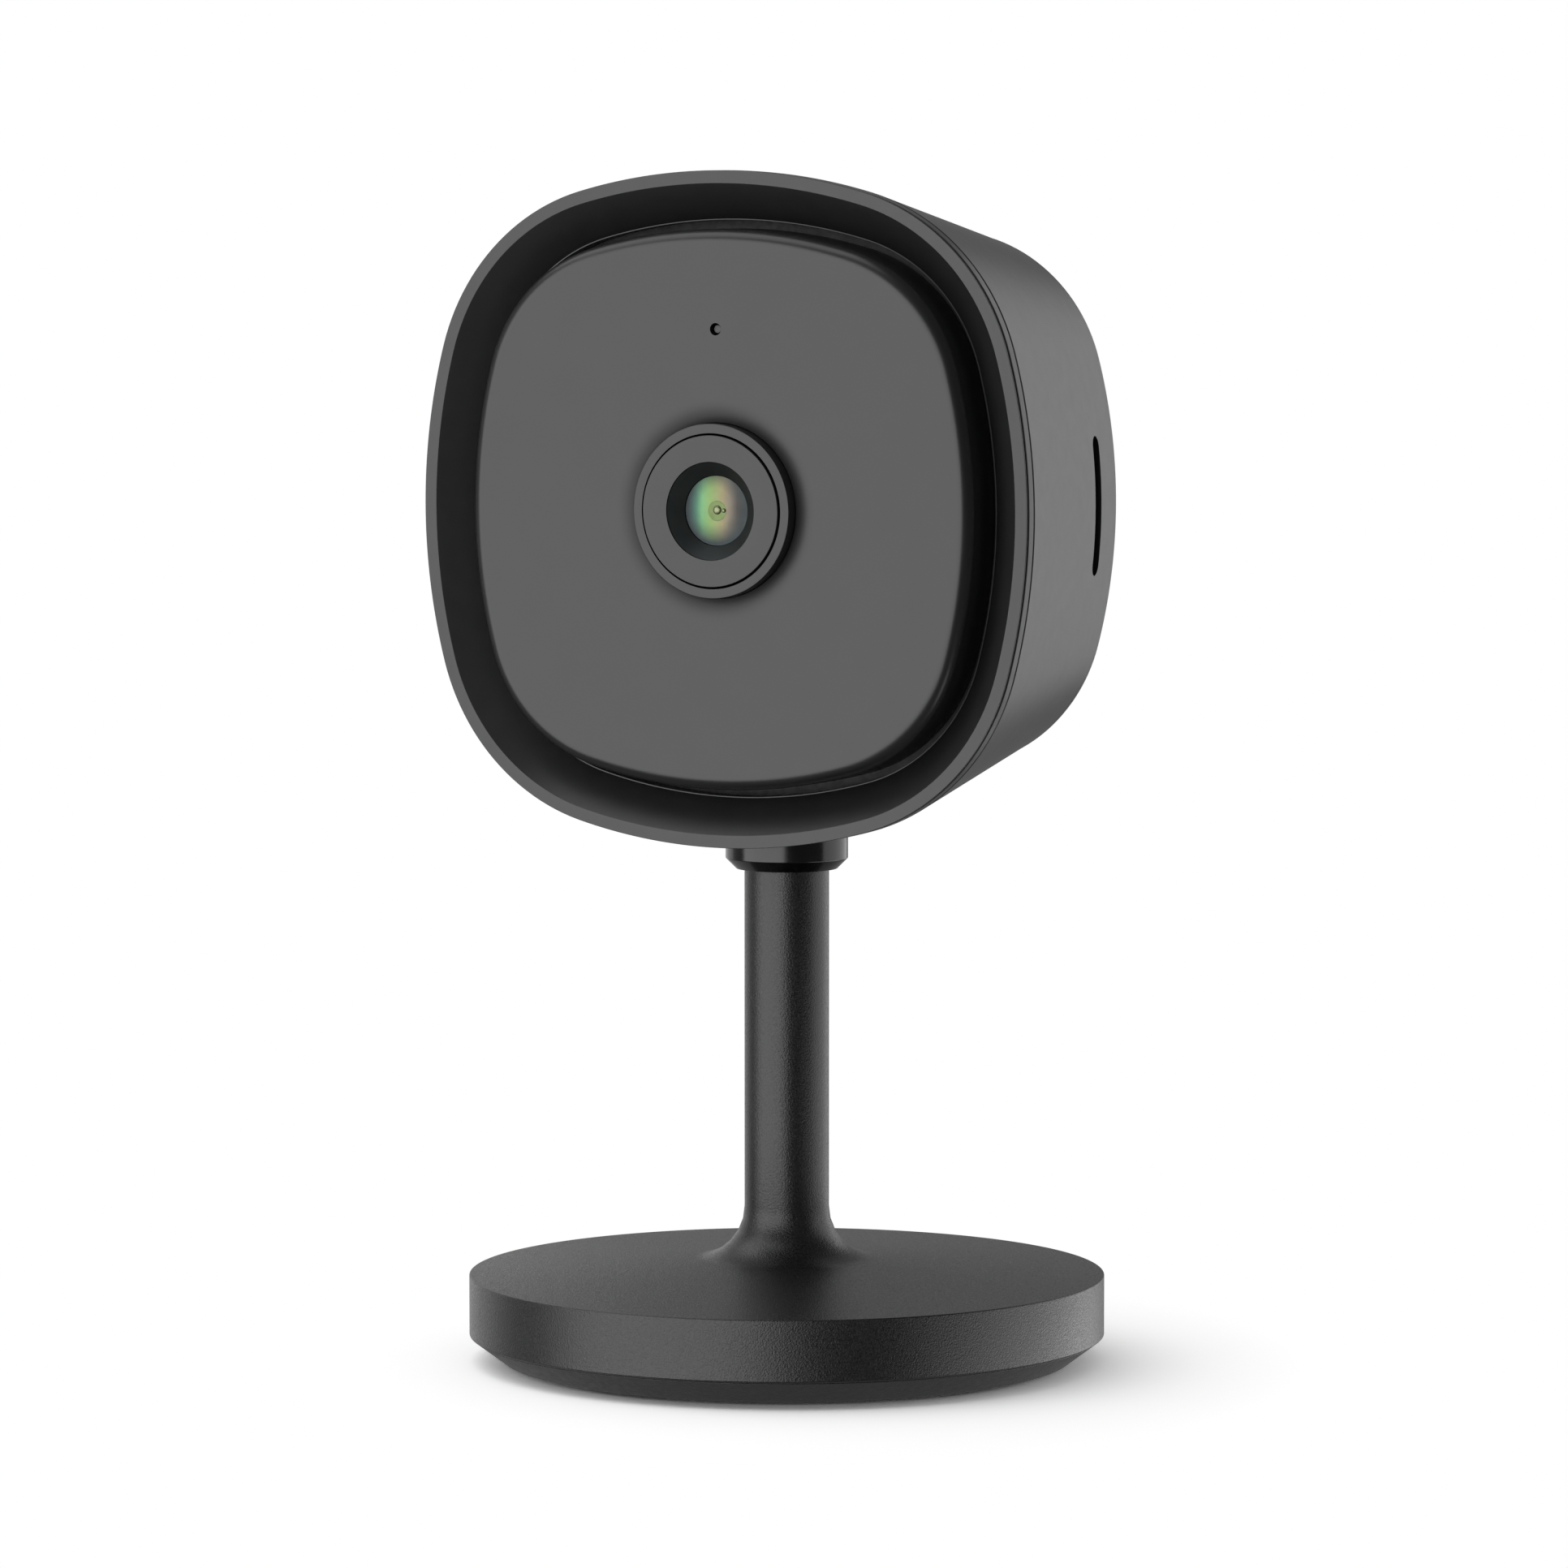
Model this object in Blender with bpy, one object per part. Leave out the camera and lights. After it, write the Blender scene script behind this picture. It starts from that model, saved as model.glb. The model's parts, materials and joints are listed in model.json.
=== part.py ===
"""Indoor security camera: a round-square head on a swivel and tilt neck, a stem and a weighted round base.

The stem's axis is the Z axis, the base stands on Z = 0, and the lens looks along -Y. Units are metres.
"""

import math

import bmesh
import bpy
from mathutils import Matrix, Vector

MM = 0.001

# Stand
BASE_R = 28.9 * MM
BASE_RIM_Z = 8.0 * MM
BASE_WALL_Z = 2.4 * MM
BASE_CROWN_Z = 9.7 * MM
BASE_FILLET_R = 4.8 * MM
BASE_HOLLOW_R = 26.2 * MM
BASE_HOLLOW_Z = 6.9 * MM
COVER_FOOT_R = 25.9 * MM
COVER_Z = 0.3 * MM
PAD_R = 24.7 * MM
PAD_TOP_Z = 0.9 * MM
WEIGHT_R = 24.0 * MM
WEIGHT_Z = 3.2 * MM
STEM_R = 3.84 * MM
STEM_TOP_Z = 47.0 * MM
SPIGOT_R = 2.4 * MM
SPIGOT_TOP_Z = 49.5 * MM
TAPPED_R = 1.4 * MM
COVER_SCREW_CIRCLE_R = 17.0 * MM

# Neck
COLLAR_R = 5.56 * MM
COLLAR_FOOT_R = 4.45 * MM
COLLAR_FOOT_Z = 45.0 * MM
COLLAR_TOP_Z = 48.7 * MM
SHELF_Z = 47.3 * MM
TILT_Z = 56.0 * MM
KNUCKLE_R = 5.2 * MM
KNUCKLE_HALF_X = 5.4 * MM
KNUCKLE_POCKET_R = 4.2 * MM
KNUCKLE_POCKET_Z = 52.8 * MM
PIN_R = 1.5 * MM
CHEEK_X = 6.5 * MM
CHEEK = 1.5 * MM

# Head shells
HEAD_Z = 78.0 * MM
RIM_Y = -13.0 * MM
BACK_Y = 16.5 * MM
SIDE_BOW = 23.8 * MM
CORNER_INSET = 10.2 * MM
RIM_HALF = 30.14 * MM
BACK_HALF = 25.7 * MM
BACK_EDGE_R = 1.6 * MM
WALL = 1.6 * MM
FIRST_GROOVE_Y = RIM_Y + 0.12 * MM
BAND_Y = RIM_Y + 0.5 * MM
BAND_BACK_Y = RIM_Y + 1.4 * MM
HOUSING_Y = RIM_Y + 1.6 * MM
MOUTH_HALF = 29.0 * MM
LIP_HALF = 25.72 * MM
LIP_Y = RIM_Y + 2.9 * MM
PANEL_HALF = 24.6 * MM
PANEL_Y = RIM_Y - 0.9 * MM
PANEL_BACK_Y = RIM_Y + 4.2 * MM
PANEL_EDGE_R = 1.0 * MM
PANEL_WALL = 1.4 * MM
PANEL_HOLE_R = 8.07 * MM
DIP_WIDTH = 1.55 * MM
DIP_DEPTH = 0.62 * MM
FRAME_Y = PANEL_BACK_Y + 0.5 * MM

# Lens
LENS_FACE_Y = RIM_Y - 2.0 * MM
LENS_RING_R = 7.77 * MM
LENS_GROOVE_R = 6.86 * MM
LENS_MOUTH_R = 4.36 * MM
LENS_GLASS_R = 3.1 * MM
BARREL_R = 6.0 * MM
BARREL_BORE_R = 4.4 * MM
HOLDER_HALF = 7.5 * MM
FILTER_Y = -1.2 * MM

# Openings
PINHOLE_Z = HEAD_Z + 16.1 * MM
PINHOLE_R = 0.55 * MM
NECK_SLOT_HALF_X = 6.0 * MM
NECK_SLOT_FRONT_Y = -9.4 * MM
NECK_SLOT_BACK_Y = 11.4 * MM
CARD_SLOT_Y = 9.4 * MM
CARD_SLOT_LENGTH = 12.6 * MM
CARD_SLOT_WIDTH = 1.6 * MM
PORT_Z = 67.5 * MM
BUTTON_X = 9.0 * MM
BUTTON_R = 1.4 * MM
SPEAKER_Z = 90.0 * MM
SPEAKER_R = 8.0 * MM
GRILLE_HOLE_R = 0.6 * MM
GRILLE_PITCH = 2.4 * MM
MICROPHONE = (14.0 * MM, 2.0 * MM)

# Boards
BOARD = 1.0 * MM
GAP = 0.3 * MM
LAMP_BOARD_Y = -10.6 * MM
MAIN_BOARD_Y = 1.6 * MM
POWER_BOARD_Y = 7.0 * MM
BOARD_LOW_Z = 64.5 * MM

OUTLINE_STEPS = 48
BIG_STEPS = 48
MID_STEPS = 24
SMALL_STEPS = 12

X_AXIS, Y_AXIS, Z_AXIS = Vector((1, 0, 0)), Vector((0, 1, 0)), Vector((0, 0, 1))
HEAD_CENTRE = (0, 0, HEAD_Z)
ORIGIN = (0, 0, 0)


def clear_scene():
    for obj in list(bpy.data.objects):
        bpy.data.objects.remove(obj, do_unlink=True)


def material(name, colour, roughness, metallic=0.0, alpha=1.0):
    made = bpy.data.materials.new(name)
    made.use_nodes = True
    shader = made.node_tree.nodes["Principled BSDF"]
    shader.inputs["Base Color"].default_value = (*colour, 1.0)
    shader.inputs["Roughness"].default_value = roughness
    shader.inputs["Metallic"].default_value = metallic
    shader.inputs["Alpha"].default_value = alpha
    return made


def materials():
    return {
        "coat": material("powder_coat", (0.035, 0.035, 0.036), 0.5),
        "shell": material("satin_plastic", (0.055, 0.055, 0.057), 0.42),
        "panel": material("panel_plastic", (0.06, 0.06, 0.061), 0.38),
        "gloss": material("gloss_black", (0.008, 0.008, 0.009), 0.1),
        "matte": material("matte_black", (0.01, 0.01, 0.01), 0.7),
        "rubber": material("rubber", (0.02, 0.02, 0.02), 0.85),
        "glass": material("coated_glass", (0.12, 0.25, 0.2), 0.03, alpha=0.6),
        "steel": material("zinc_steel", (0.55, 0.55, 0.56), 0.35, metallic=1.0),
        "aluminium": material("aluminium", (0.7, 0.7, 0.72), 0.35, metallic=1.0),
        "board": material("circuit_board", (0.01, 0.09, 0.04), 0.45),
        "chip": material("chip_black", (0.015, 0.015, 0.017), 0.5),
        "lamp": material("clear_epoxy", (0.5, 0.5, 0.55), 0.1, alpha=0.6),
        "nylon": material("white_nylon", (0.6, 0.6, 0.58), 0.5),
    }


def finish(name, mesh, surface, smooth=True):
    """Makes the bmesh an object, with its faces pointing out and its curved faces shaded smooth."""
    bmesh.ops.recalc_face_normals(mesh, faces=mesh.faces)
    if mesh.calc_volume(signed=True) < 0:
        bmesh.ops.reverse_faces(mesh, faces=mesh.faces)
    data = bpy.data.meshes.new(name)
    mesh.to_mesh(data)
    mesh.free()
    if smooth:
        data.shade_smooth()
        data.set_sharp_from_angle(angle=math.radians(35))
    obj = bpy.data.objects.new(name, data)
    obj.data.materials.append(surface)
    bpy.context.scene.collection.objects.link(obj)
    return obj


def reach(half, turn):
    """How far the head's outline lies from its middle in a direction, for a half width.

    The sides are arcs that bow out, and rounder arcs join them at the corners. All the arcs keep their
    centres as the half width changes, so any two outlines are parallel.
    """
    corner = (math.sqrt(2 * (SIDE_BOW + CORNER_INSET) ** 2 - SIDE_BOW**2) - SIDE_BOW) / 2
    side_r, corner_r = half + SIDE_BOW, half - CORNER_INSET
    join_turn = math.atan2(corner, corner + SIDE_BOW)
    join_x, join_z = side_r * math.cos(join_turn) - SIDE_BOW, side_r * math.sin(join_turn)
    turn = abs((turn + math.pi / 4) % (math.pi / 2) - math.pi / 4)
    if turn < math.atan2(join_z, join_x):
        middle = -SIDE_BOW * math.cos(turn)
        return middle + math.sqrt(middle**2 - SIDE_BOW**2 + side_r**2)
    middle = corner * (math.cos(turn) + math.sin(turn))
    return middle + math.sqrt(middle**2 - 2 * corner**2 + corner_r**2)


def around_head(y, distance):
    """One loop round the head's axis at depth y: distance(turn) is how far out it lies in each direction."""
    loop = []
    for step in range(OUTLINE_STEPS):
        turn = 2 * math.pi * step / OUTLINE_STEPS
        out = distance(turn)
        loop.append(Vector((out * math.cos(turn), y, HEAD_Z + out * math.sin(turn))))
    return loop


def outline(half, y):
    return around_head(y, lambda turn: reach(half, turn))


def hoop(radius, y):
    return around_head(y, lambda turn: radius)


def circle(radius, along, axis, centre, steps):
    """One loop of a circle round the axis through the centre, at a distance along the axis."""
    side = Y_AXIS if axis.x else X_AXIS
    up = axis.cross(side)
    middle = Vector(centre)
    middle += axis * (along - middle.dot(axis))
    turns = [2 * math.pi * step / steps for step in range(steps)]
    return [middle + side * radius * math.cos(turn) + up * radius * math.sin(turn) for turn in turns]


def skin(name, loops, surface, ring=False):
    """Joins loops of equal length with faces: with end caps, or as a ring that closes on itself."""
    mesh = bmesh.new()
    rows = [[mesh.verts.new(point) for point in loop] for loop in loops]
    pairs = list(zip(rows, rows[1:]))
    if ring:
        pairs.append((rows[-1], rows[0]))
    else:
        mesh.faces.new(rows[0])
        mesh.faces.new(rows[-1])
    count = len(loops[0])
    for low, high in pairs:
        for k in range(count):
            after = (k + 1) % count
            mesh.faces.new((low[k], low[after], high[after], high[k]))
    return finish(name, mesh, surface)


def turned(name, profile, surface, axis=Y_AXIS, centre=HEAD_CENTRE, steps=MID_STEPS, ring=False):
    """Turns a profile of (radius, distance along the axis) points round the axis through the centre."""
    loops = [circle(radius, along, axis, centre, steps) for radius, along in profile]
    return skin(name, loops, surface, ring)


def tube(name, inner_r, outer_r, low, high, surface, axis=Y_AXIS, centre=HEAD_CENTRE, steps=MID_STEPS):
    profile = [(inner_r, low), (outer_r, low), (outer_r, high), (inner_r, high)]
    return turned(name, profile, surface, axis, centre, steps, ring=True)


def rod(name, radius, low, high, surface, axis=Y_AXIS, centre=HEAD_CENTRE, steps=SMALL_STEPS):
    return turned(name, [(radius, low), (radius, high)], surface, axis, centre, steps)


def block(name, low, high, surface, bevel=0.0):
    """A box between two corners, with its edges chamfered by the bevel."""
    mesh = bmesh.new()
    size = Vector(high) - Vector(low)
    middle = (Vector(high) + Vector(low)) / 2
    bmesh.ops.create_cube(mesh, size=1.0, matrix=Matrix.Translation(middle) @ Matrix.Diagonal((*size, 1)))
    if bevel:
        bmesh.ops.bevel(mesh, geom=mesh.edges[:], offset=bevel, segments=1, affect="EDGES")
    return finish(name, mesh, surface, smooth=False)


def slab(name, x, z, size, y, thickness, surface, bevel=0.0):
    """A flat rectangular piece facing along Y, from its middle, its size and its front face's depth."""
    half_x, half_z = size[0] / 2, size[1] / 2
    return block(name, (x - half_x, y, z - half_z), (x + half_x, y + thickness, z + half_z), surface, bevel)


def prism(name, section, low, high, surface, axis):
    """Extrudes a section of points along the axis, from low to high."""
    return skin(name, [[point + axis * level for point in section] for level in (low, high)], surface)


def stadium(half_width, low, high, steps=8):
    """(across, along) points of a slot with round ends, from low to high."""
    points = []
    for centre, start in ((high - half_width, 0.0), (low + half_width, math.pi)):
        for step in range(steps + 1):
            turn = start + math.pi * step / steps
            points.append((half_width * math.cos(turn), centre + half_width * math.sin(turn)))
    return points


def modify(obj, operation, tools):
    for tool in tools:
        modifier = obj.modifiers.new(tool.name, "BOOLEAN")
        modifier.operation = operation
        modifier.object = tool
        tool.hide_render = True
        tool.display_type = "WIRE"
    return obj


def cut(obj, *tools):
    return modify(obj, "DIFFERENCE", tools)


def join(obj, *tools):
    return modify(obj, "UNION", tools)


def pivot(name, place, parent=None):
    """An empty on a joint's axis, which the pieces that move there hang on."""
    empty = bpy.data.objects.new(name, None)
    empty.location = Vector(place)
    if parent:
        empty.location -= parent.location
        empty.parent = parent
    bpy.context.scene.collection.objects.link(empty)
    return empty


def hang(parent, place, pieces):
    """Puts each piece's origin at the parent, which stands at the place, without moving its shape."""
    for piece in pieces:
        piece.data.transform(Matrix.Translation(-Vector(place)))
        piece.parent = parent


def screw(name, place, axis, head_r, head_h, shank_r, shank_l, surface):
    """A pan-head screw, from the middle of its head's outer face: the axis points from tip to head."""
    top = Vector(place).dot(axis)
    under = top - head_h
    profile = [
        (head_r * 0.15, top - head_h * 0.5),
        (head_r * 0.45, top),
        (head_r * 0.85, top),
        (head_r, top - head_h * 0.3),
        (head_r, under),
        (shank_r, under),
        (shank_r, under - shank_l + shank_r),
        (shank_r * 0.4, under - shank_l),
    ]
    return turned(name, profile, surface, axis, place, SMALL_STEPS)


def make_stand(look):
    """The one-piece stem and base casting: hollow below, with a tapped hole at each end of the stem."""
    crown_r = STEM_R + BASE_FILLET_R
    profile = [
        (TAPPED_R, BASE_HOLLOW_Z + 8 * MM),
        (TAPPED_R, BASE_HOLLOW_Z),
        (BASE_HOLLOW_R, BASE_HOLLOW_Z),
        (BASE_HOLLOW_R, BASE_WALL_Z),
        (BASE_R - 0.3 * MM, BASE_WALL_Z),
        (BASE_R, BASE_WALL_Z + 0.3 * MM),
        (BASE_R, BASE_RIM_Z - 0.3 * MM),
        (BASE_R - 0.3 * MM, BASE_RIM_Z),
        ((BASE_R + crown_r) / 2, (BASE_RIM_Z + BASE_CROWN_Z) / 2 + 0.1 * MM),
    ]
    arc_steps = 6
    for step in range(arc_steps + 1):
        turn = math.pi / 2 * step / arc_steps
        radius = crown_r - BASE_FILLET_R * math.sin(turn)
        profile.append((radius, BASE_CROWN_Z + BASE_FILLET_R * (1 - math.cos(turn))))
    profile += [
        (STEM_R, STEM_TOP_Z),
        (SPIGOT_R, STEM_TOP_Z),
        (SPIGOT_R, SPIGOT_TOP_Z),
        (TAPPED_R, SPIGOT_TOP_Z),
        (TAPPED_R, SPIGOT_TOP_Z - 6 * MM),
    ]
    return turned("stand", profile, look["coat"], Z_AXIS, ORIGIN, BIG_STEPS)


def make_base_fittings(look):
    """What fills the base: the steel weight and its screw, the cover and its three screws, the pad."""
    head_pocket_r, head_pocket_z = 3.3 * MM, WEIGHT_Z + 2.2 * MM
    weight_top_z = BASE_HOLLOW_Z - GAP
    weight = turned(
        "base_weight",
        [
            (head_pocket_r, WEIGHT_Z),
            (WEIGHT_R, WEIGHT_Z),
            (WEIGHT_R, weight_top_z),
            (1.8 * MM, weight_top_z),
            (1.8 * MM, head_pocket_z),
            (head_pocket_r, head_pocket_z),
        ],
        look["steel"], Z_AXIS, ORIGIN, BIG_STEPS, ring=True,
    )
    place = (0, 0, WEIGHT_Z + GAP)
    screw("weight_screw", place, -Z_AXIS, 2.8 * MM, 1.6 * MM, 1.1 * MM, 8 * MM, look["steel"])

    pocket_r, pocket_z = PAD_R + GAP, PAD_TOP_Z + GAP
    cover_top_z = WEIGHT_Z - GAP
    cover = turned(
        "bottom_cover",
        [
            (pocket_r, pocket_z),
            (pocket_r, COVER_Z),
            (COVER_FOOT_R, COVER_Z),
            (BASE_R - 0.6 * MM, BASE_WALL_Z - GAP),
            (BASE_HOLLOW_R - GAP, BASE_WALL_Z - GAP),
            (BASE_HOLLOW_R - GAP, cover_top_z),
        ],
        look["matte"], Z_AXIS, ORIGIN, BIG_STEPS,
    )
    for k in range(3):
        turn = math.radians(90 + 120 * k)
        x, y = COVER_SCREW_CIRCLE_R * math.cos(turn), COVER_SCREW_CIRCLE_R * math.sin(turn)
        bore = rod(f"cover_bore_{k}", 1.05 * MM, 0, 6 * MM, look["matte"], Z_AXIS, (x, y, 0))
        seat = rod(f"cover_seat_{k}", 2.0 * MM, 0, pocket_z + 1.0 * MM, look["matte"], Z_AXIS, (x, y, 0))
        cut(cover, bore, seat)
        cut(weight, bore)
        place = (x, y, pocket_z)
        screw(f"cover_screw_{k + 1}", place, -Z_AXIS, 1.7 * MM, 0.7 * MM, 0.75 * MM, 3.4 * MM, look["steel"])
    turned(
        "foot_pad",
        [(PAD_R - 0.2 * MM, 0), (PAD_R, 0.2 * MM), (PAD_R, PAD_TOP_Z)],
        look["rubber"], Z_AXIS, ORIGIN, BIG_STEPS,
    )


def make_swivel(look):
    """The pan bearing at the stem's top. Returns its pieces that turn with the neck."""
    bore_r = STEM_R + GAP
    shelf_r = SPIGOT_R + GAP
    collar = turned(
        "swivel_collar",
        [
            (bore_r, COLLAR_FOOT_Z),
            (COLLAR_FOOT_R, COLLAR_FOOT_Z),
            (COLLAR_R, COLLAR_FOOT_Z + COLLAR_R - COLLAR_FOOT_R),
            (COLLAR_R, COLLAR_TOP_Z),
            (shelf_r, COLLAR_TOP_Z),
            (shelf_r, SHELF_Z),
            (bore_r, SHELF_Z),
        ],
        look["gloss"], Z_AXIS, ORIGIN, BIG_STEPS, ring=True,
    )
    wave_z = COLLAR_TOP_Z + GAP
    wave = tube("wave_washer", shelf_r, 3.9 * MM, wave_z, wave_z + 0.5 * MM, look["steel"], Z_AXIS, ORIGIN)
    flat_z = wave_z + 0.5 * MM + GAP
    tube("swivel_washer", TAPPED_R, 3.9 * MM, flat_z, flat_z + 0.5 * MM, look["steel"], Z_AXIS, ORIGIN)
    head_z = flat_z + 0.5 * MM + GAP + 1.4 * MM
    screw("swivel_screw", (0, 0, head_z), Z_AXIS, 2.6 * MM, 1.4 * MM, 1.05 * MM, 6.4 * MM, look["steel"])

    foot_z = COLLAR_TOP_Z + GAP
    knuckle = rod("neck_knuckle", COLLAR_R, foot_z, TILT_Z - 1 * MM, look["matte"], Z_AXIS, ORIGIN, 48)
    centre = (0, 0, TILT_Z)
    half_x = KNUCKLE_HALF_X
    barrel = rod("knuckle_barrel", KNUCKLE_R, -half_x, half_x, look["matte"], X_AXIS, centre, 48)
    bore = rod("knuckle_bore", PIN_R + GAP, -10 * MM, 10 * MM, look["matte"], X_AXIS, centre, 24)
    top_z = KNUCKLE_POCKET_Z
    pocket = rod("knuckle_pocket", KNUCKLE_POCKET_R, 40 * MM, top_z, look["matte"], Z_AXIS, ORIGIN, 32)
    join(knuckle, barrel)
    cut(knuckle, bore, pocket)
    pieces = [collar, wave, knuckle, barrel, bore, pocket]

    for side, sign in (("left", -1), ("right", 1)):
        near, far = sorted((sign * (KNUCKLE_HALF_X + GAP), sign * (CHEEK_X - GAP)))
        name = f"friction_washer_{side}"
        pieces.append(tube(name, PIN_R + GAP, 3.4 * MM, near, far, look["nylon"], X_AXIS, centre, 24))
    return pieces


def make_tilt_mount(look):
    """The bridge inside the head that holds the tilt pin, and the pin with its clip."""
    outer_x = CHEEK_X + CHEEK
    foot_z = 53.0 * MM
    web_z = TILT_Z + 6 * MM
    right = [(CHEEK_X, web_z), (CHEEK_X, foot_z), (outer_x, foot_z), (outer_x, web_z + CHEEK)]
    points = [Vector((x, 0, z)) for x, z in right + [(-x, z) for x, z in reversed(right)]]
    cradle = prism("tilt_cradle", points, -5 * MM, 5 * MM, look["matte"], Y_AXIS)
    centre = (0, 0, TILT_Z)
    hole = rod("cradle_hole", PIN_R + GAP, -12 * MM, 12 * MM, look["matte"], X_AXIS, centre, 24)
    cut(cradle, hole)

    head_x = outer_x + GAP
    profile = [
        (PIN_R, -head_x - 0.9 * MM),
        (PIN_R, head_x),
        (2.4 * MM, head_x),
        (2.4 * MM, head_x + 0.8 * MM),
    ]
    pin = turned("tilt_pin", profile, look["steel"], X_AXIS, centre, 24)
    clip_x = -head_x - 0.6 * MM
    clip = tube("pin_clip", PIN_R + GAP, 2.7 * MM, clip_x, -head_x, look["steel"], X_AXIS, centre, 24)
    return [cradle, hole, pin, clip]


def make_rear_housing(look):
    """The cup that closes the head from behind, with its slots, port, grille and button hole."""
    edge_y = BACK_Y - BACK_EDGE_R
    stations = [(RIM_HALF, HOUSING_Y), (BACK_HALF, edge_y)]
    loops = [outline(half - WALL, y) for half, y in reversed(stations)]
    loops += [outline(half, y) for half, y in stations]
    for step in (1, 2, 3):
        turn = math.pi / 2 * step / 3
        half = BACK_HALF - BACK_EDGE_R * (1 - math.cos(turn))
        loops.append(outline(half, edge_y + BACK_EDGE_R * math.sin(turn)))
    housing = skin("rear_housing", loops, look["shell"])

    rim = [Vector((x, y, 0)) for x, y in stadium(NECK_SLOT_HALF_X, NECK_SLOT_FRONT_Y, NECK_SLOT_BACK_Y)]
    neck_slot = prism("neck_slot", rim, 40 * MM, 56 * MM, look["shell"], Z_AXIS)
    half_length = CARD_SLOT_LENGTH / 2
    points = stadium(CARD_SLOT_WIDTH / 2, HEAD_Z - half_length, HEAD_Z + half_length, steps=4)
    rim = [Vector((0, CARD_SLOT_Y + y, z)) for y, z in points]
    card_slot = prism("card_slot", rim, 20 * MM, 35 * MM, look["shell"], X_AXIS)
    through = (BACK_Y - 3 * MM, BACK_Y + 3 * MM)
    port = slab("port_hole", 0, PORT_Z, (9.0 * MM, 3.6 * MM), through[0], 6 * MM, look["shell"])
    button = rod("button_hole", BUTTON_R + GAP, *through, look["shell"], Y_AXIS, (BUTTON_X, 0, PORT_Z))
    sound = rod("microphone_hole", 0.5 * MM, 45 * MM, 58 * MM, look["shell"], Z_AXIS, (*MICROPHONE, 0), 8)
    holes = [rod("grille_hole_0", GRILLE_HOLE_R, *through, look["shell"], Y_AXIS, (0, 0, SPEAKER_Z), 8)]
    for ring in (1, 2):
        for k in range(6 * ring):
            turn = 2 * math.pi * k / (6 * ring)
            out = ring * GRILLE_PITCH
            place = (out * math.cos(turn), 0, SPEAKER_Z + out * math.sin(turn))
            name = f"grille_hole_{ring}_{k}"
            holes.append(rod(name, GRILLE_HOLE_R, *through, look["shell"], Y_AXIS, place, 8))
    tools = [neck_slot, card_slot, port, button, sound, *holes]
    cut(housing, *tools)
    return [housing, *tools]


def make_front(look):
    """The funnel-shaped bezel, the band behind it, the raised panel and the frame that they clip to."""
    inner_half = RIM_HALF - 0.9 * MM
    shoulder_half = RIM_HALF - WALL - GAP
    seat_half = shoulder_half - 0.5 * MM
    seat_y = HOUSING_Y - 0.2 * MM
    bezel_back_y = PANEL_BACK_Y + 0.2 * MM
    bezel = skin(
        "front_bezel",
        [
            outline(MOUTH_HALF, RIM_Y),
            outline(RIM_HALF - 0.08 * MM, RIM_Y),
            outline(RIM_HALF, RIM_Y + 0.06 * MM),
            outline(RIM_HALF, FIRST_GROOVE_Y),
            outline(inner_half, FIRST_GROOVE_Y),
            outline(inner_half, seat_y),
            outline(shoulder_half, seat_y),
            outline(seat_half, bezel_back_y),
            outline(LIP_HALF, bezel_back_y),
            outline(LIP_HALF, LIP_Y),
            outline(LIP_HALF + GAP, LIP_Y),
        ],
        look["shell"], ring=True,
    )
    band_half = inner_half + GAP
    band = skin(
        "trim_band",
        [
            outline(band_half, BAND_Y),
            outline(RIM_HALF, BAND_Y),
            outline(RIM_HALF, BAND_BACK_Y),
            outline(band_half, BAND_BACK_Y),
        ],
        look["shell"], ring=True,
    )

    loops = [outline(PANEL_HALF, PANEL_BACK_Y)]
    for step in range(5):
        turn = math.pi / 2 * step / 4
        half = PANEL_HALF - PANEL_EDGE_R * (1 - math.cos(turn))
        loops.append(outline(half, PANEL_Y + PANEL_EDGE_R * (1 - math.sin(turn))))
    inside_y = PANEL_Y + PANEL_WALL
    for part in (0.0, 0.5, 1.0):
        loops.append(hoop(PANEL_HOLE_R + DIP_WIDTH * (1 - part), PANEL_Y + DIP_DEPTH * part**2))
    loops += [
        hoop(PANEL_HOLE_R, inside_y),
        outline(PANEL_HALF - PANEL_WALL, inside_y),
        outline(PANEL_HALF - PANEL_WALL, PANEL_BACK_Y),
    ]
    panel = skin("front_panel", loops, look["panel"], ring=True)
    pinhole = rod("pinhole", PINHOLE_R, -20 * MM, -11 * MM, look["panel"], Y_AXIS, (0, 0, PINHOLE_Z), 12)
    cut(panel, pinhole)

    frame_half = seat_half - 1.0 * MM
    frame_back_y = FRAME_Y + 1.5 * MM
    frame = skin(
        "mid_frame",
        [
            hoop(PANEL_HOLE_R, FRAME_Y),
            outline(frame_half, FRAME_Y),
            outline(frame_half, frame_back_y),
            hoop(PANEL_HOLE_R, frame_back_y),
        ],
        look["matte"], ring=True,
    )
    notch_y = FRAME_Y + 0.5 * MM
    notch = block("neck_notch", (-8 * MM, notch_y, 40 * MM), (8 * MM, 0, 60 * MM), look["matte"])
    cut(frame, notch)
    pieces = [bezel, band, panel, pinhole, frame, notch]
    post_y, tapped_y, post_back_y = FRAME_Y + 1 * MM, FRAME_Y + 4 * MM, MAIN_BOARD_Y - GAP
    for k, (x, z) in enumerate(board_screw_places()):
        place = (x, 0, z)
        post = rod(f"post_{k}", 2.0 * MM, post_y, post_back_y, look["matte"], Y_AXIS, place)
        tapped = rod(f"tapped_{k}", 0.95 * MM, tapped_y, 9 * MM, look["matte"], Y_AXIS, place, 12)
        join(frame, post)
        cut(frame, tapped)
        pieces += [post, tapped]
    return pieces


def board_screw_places():
    return [(x, z) for z in (BOARD_LOW_Z + 3 * MM, HEAD_Z + 16 * MM) for x in (-16 * MM, 16 * MM)]


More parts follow.
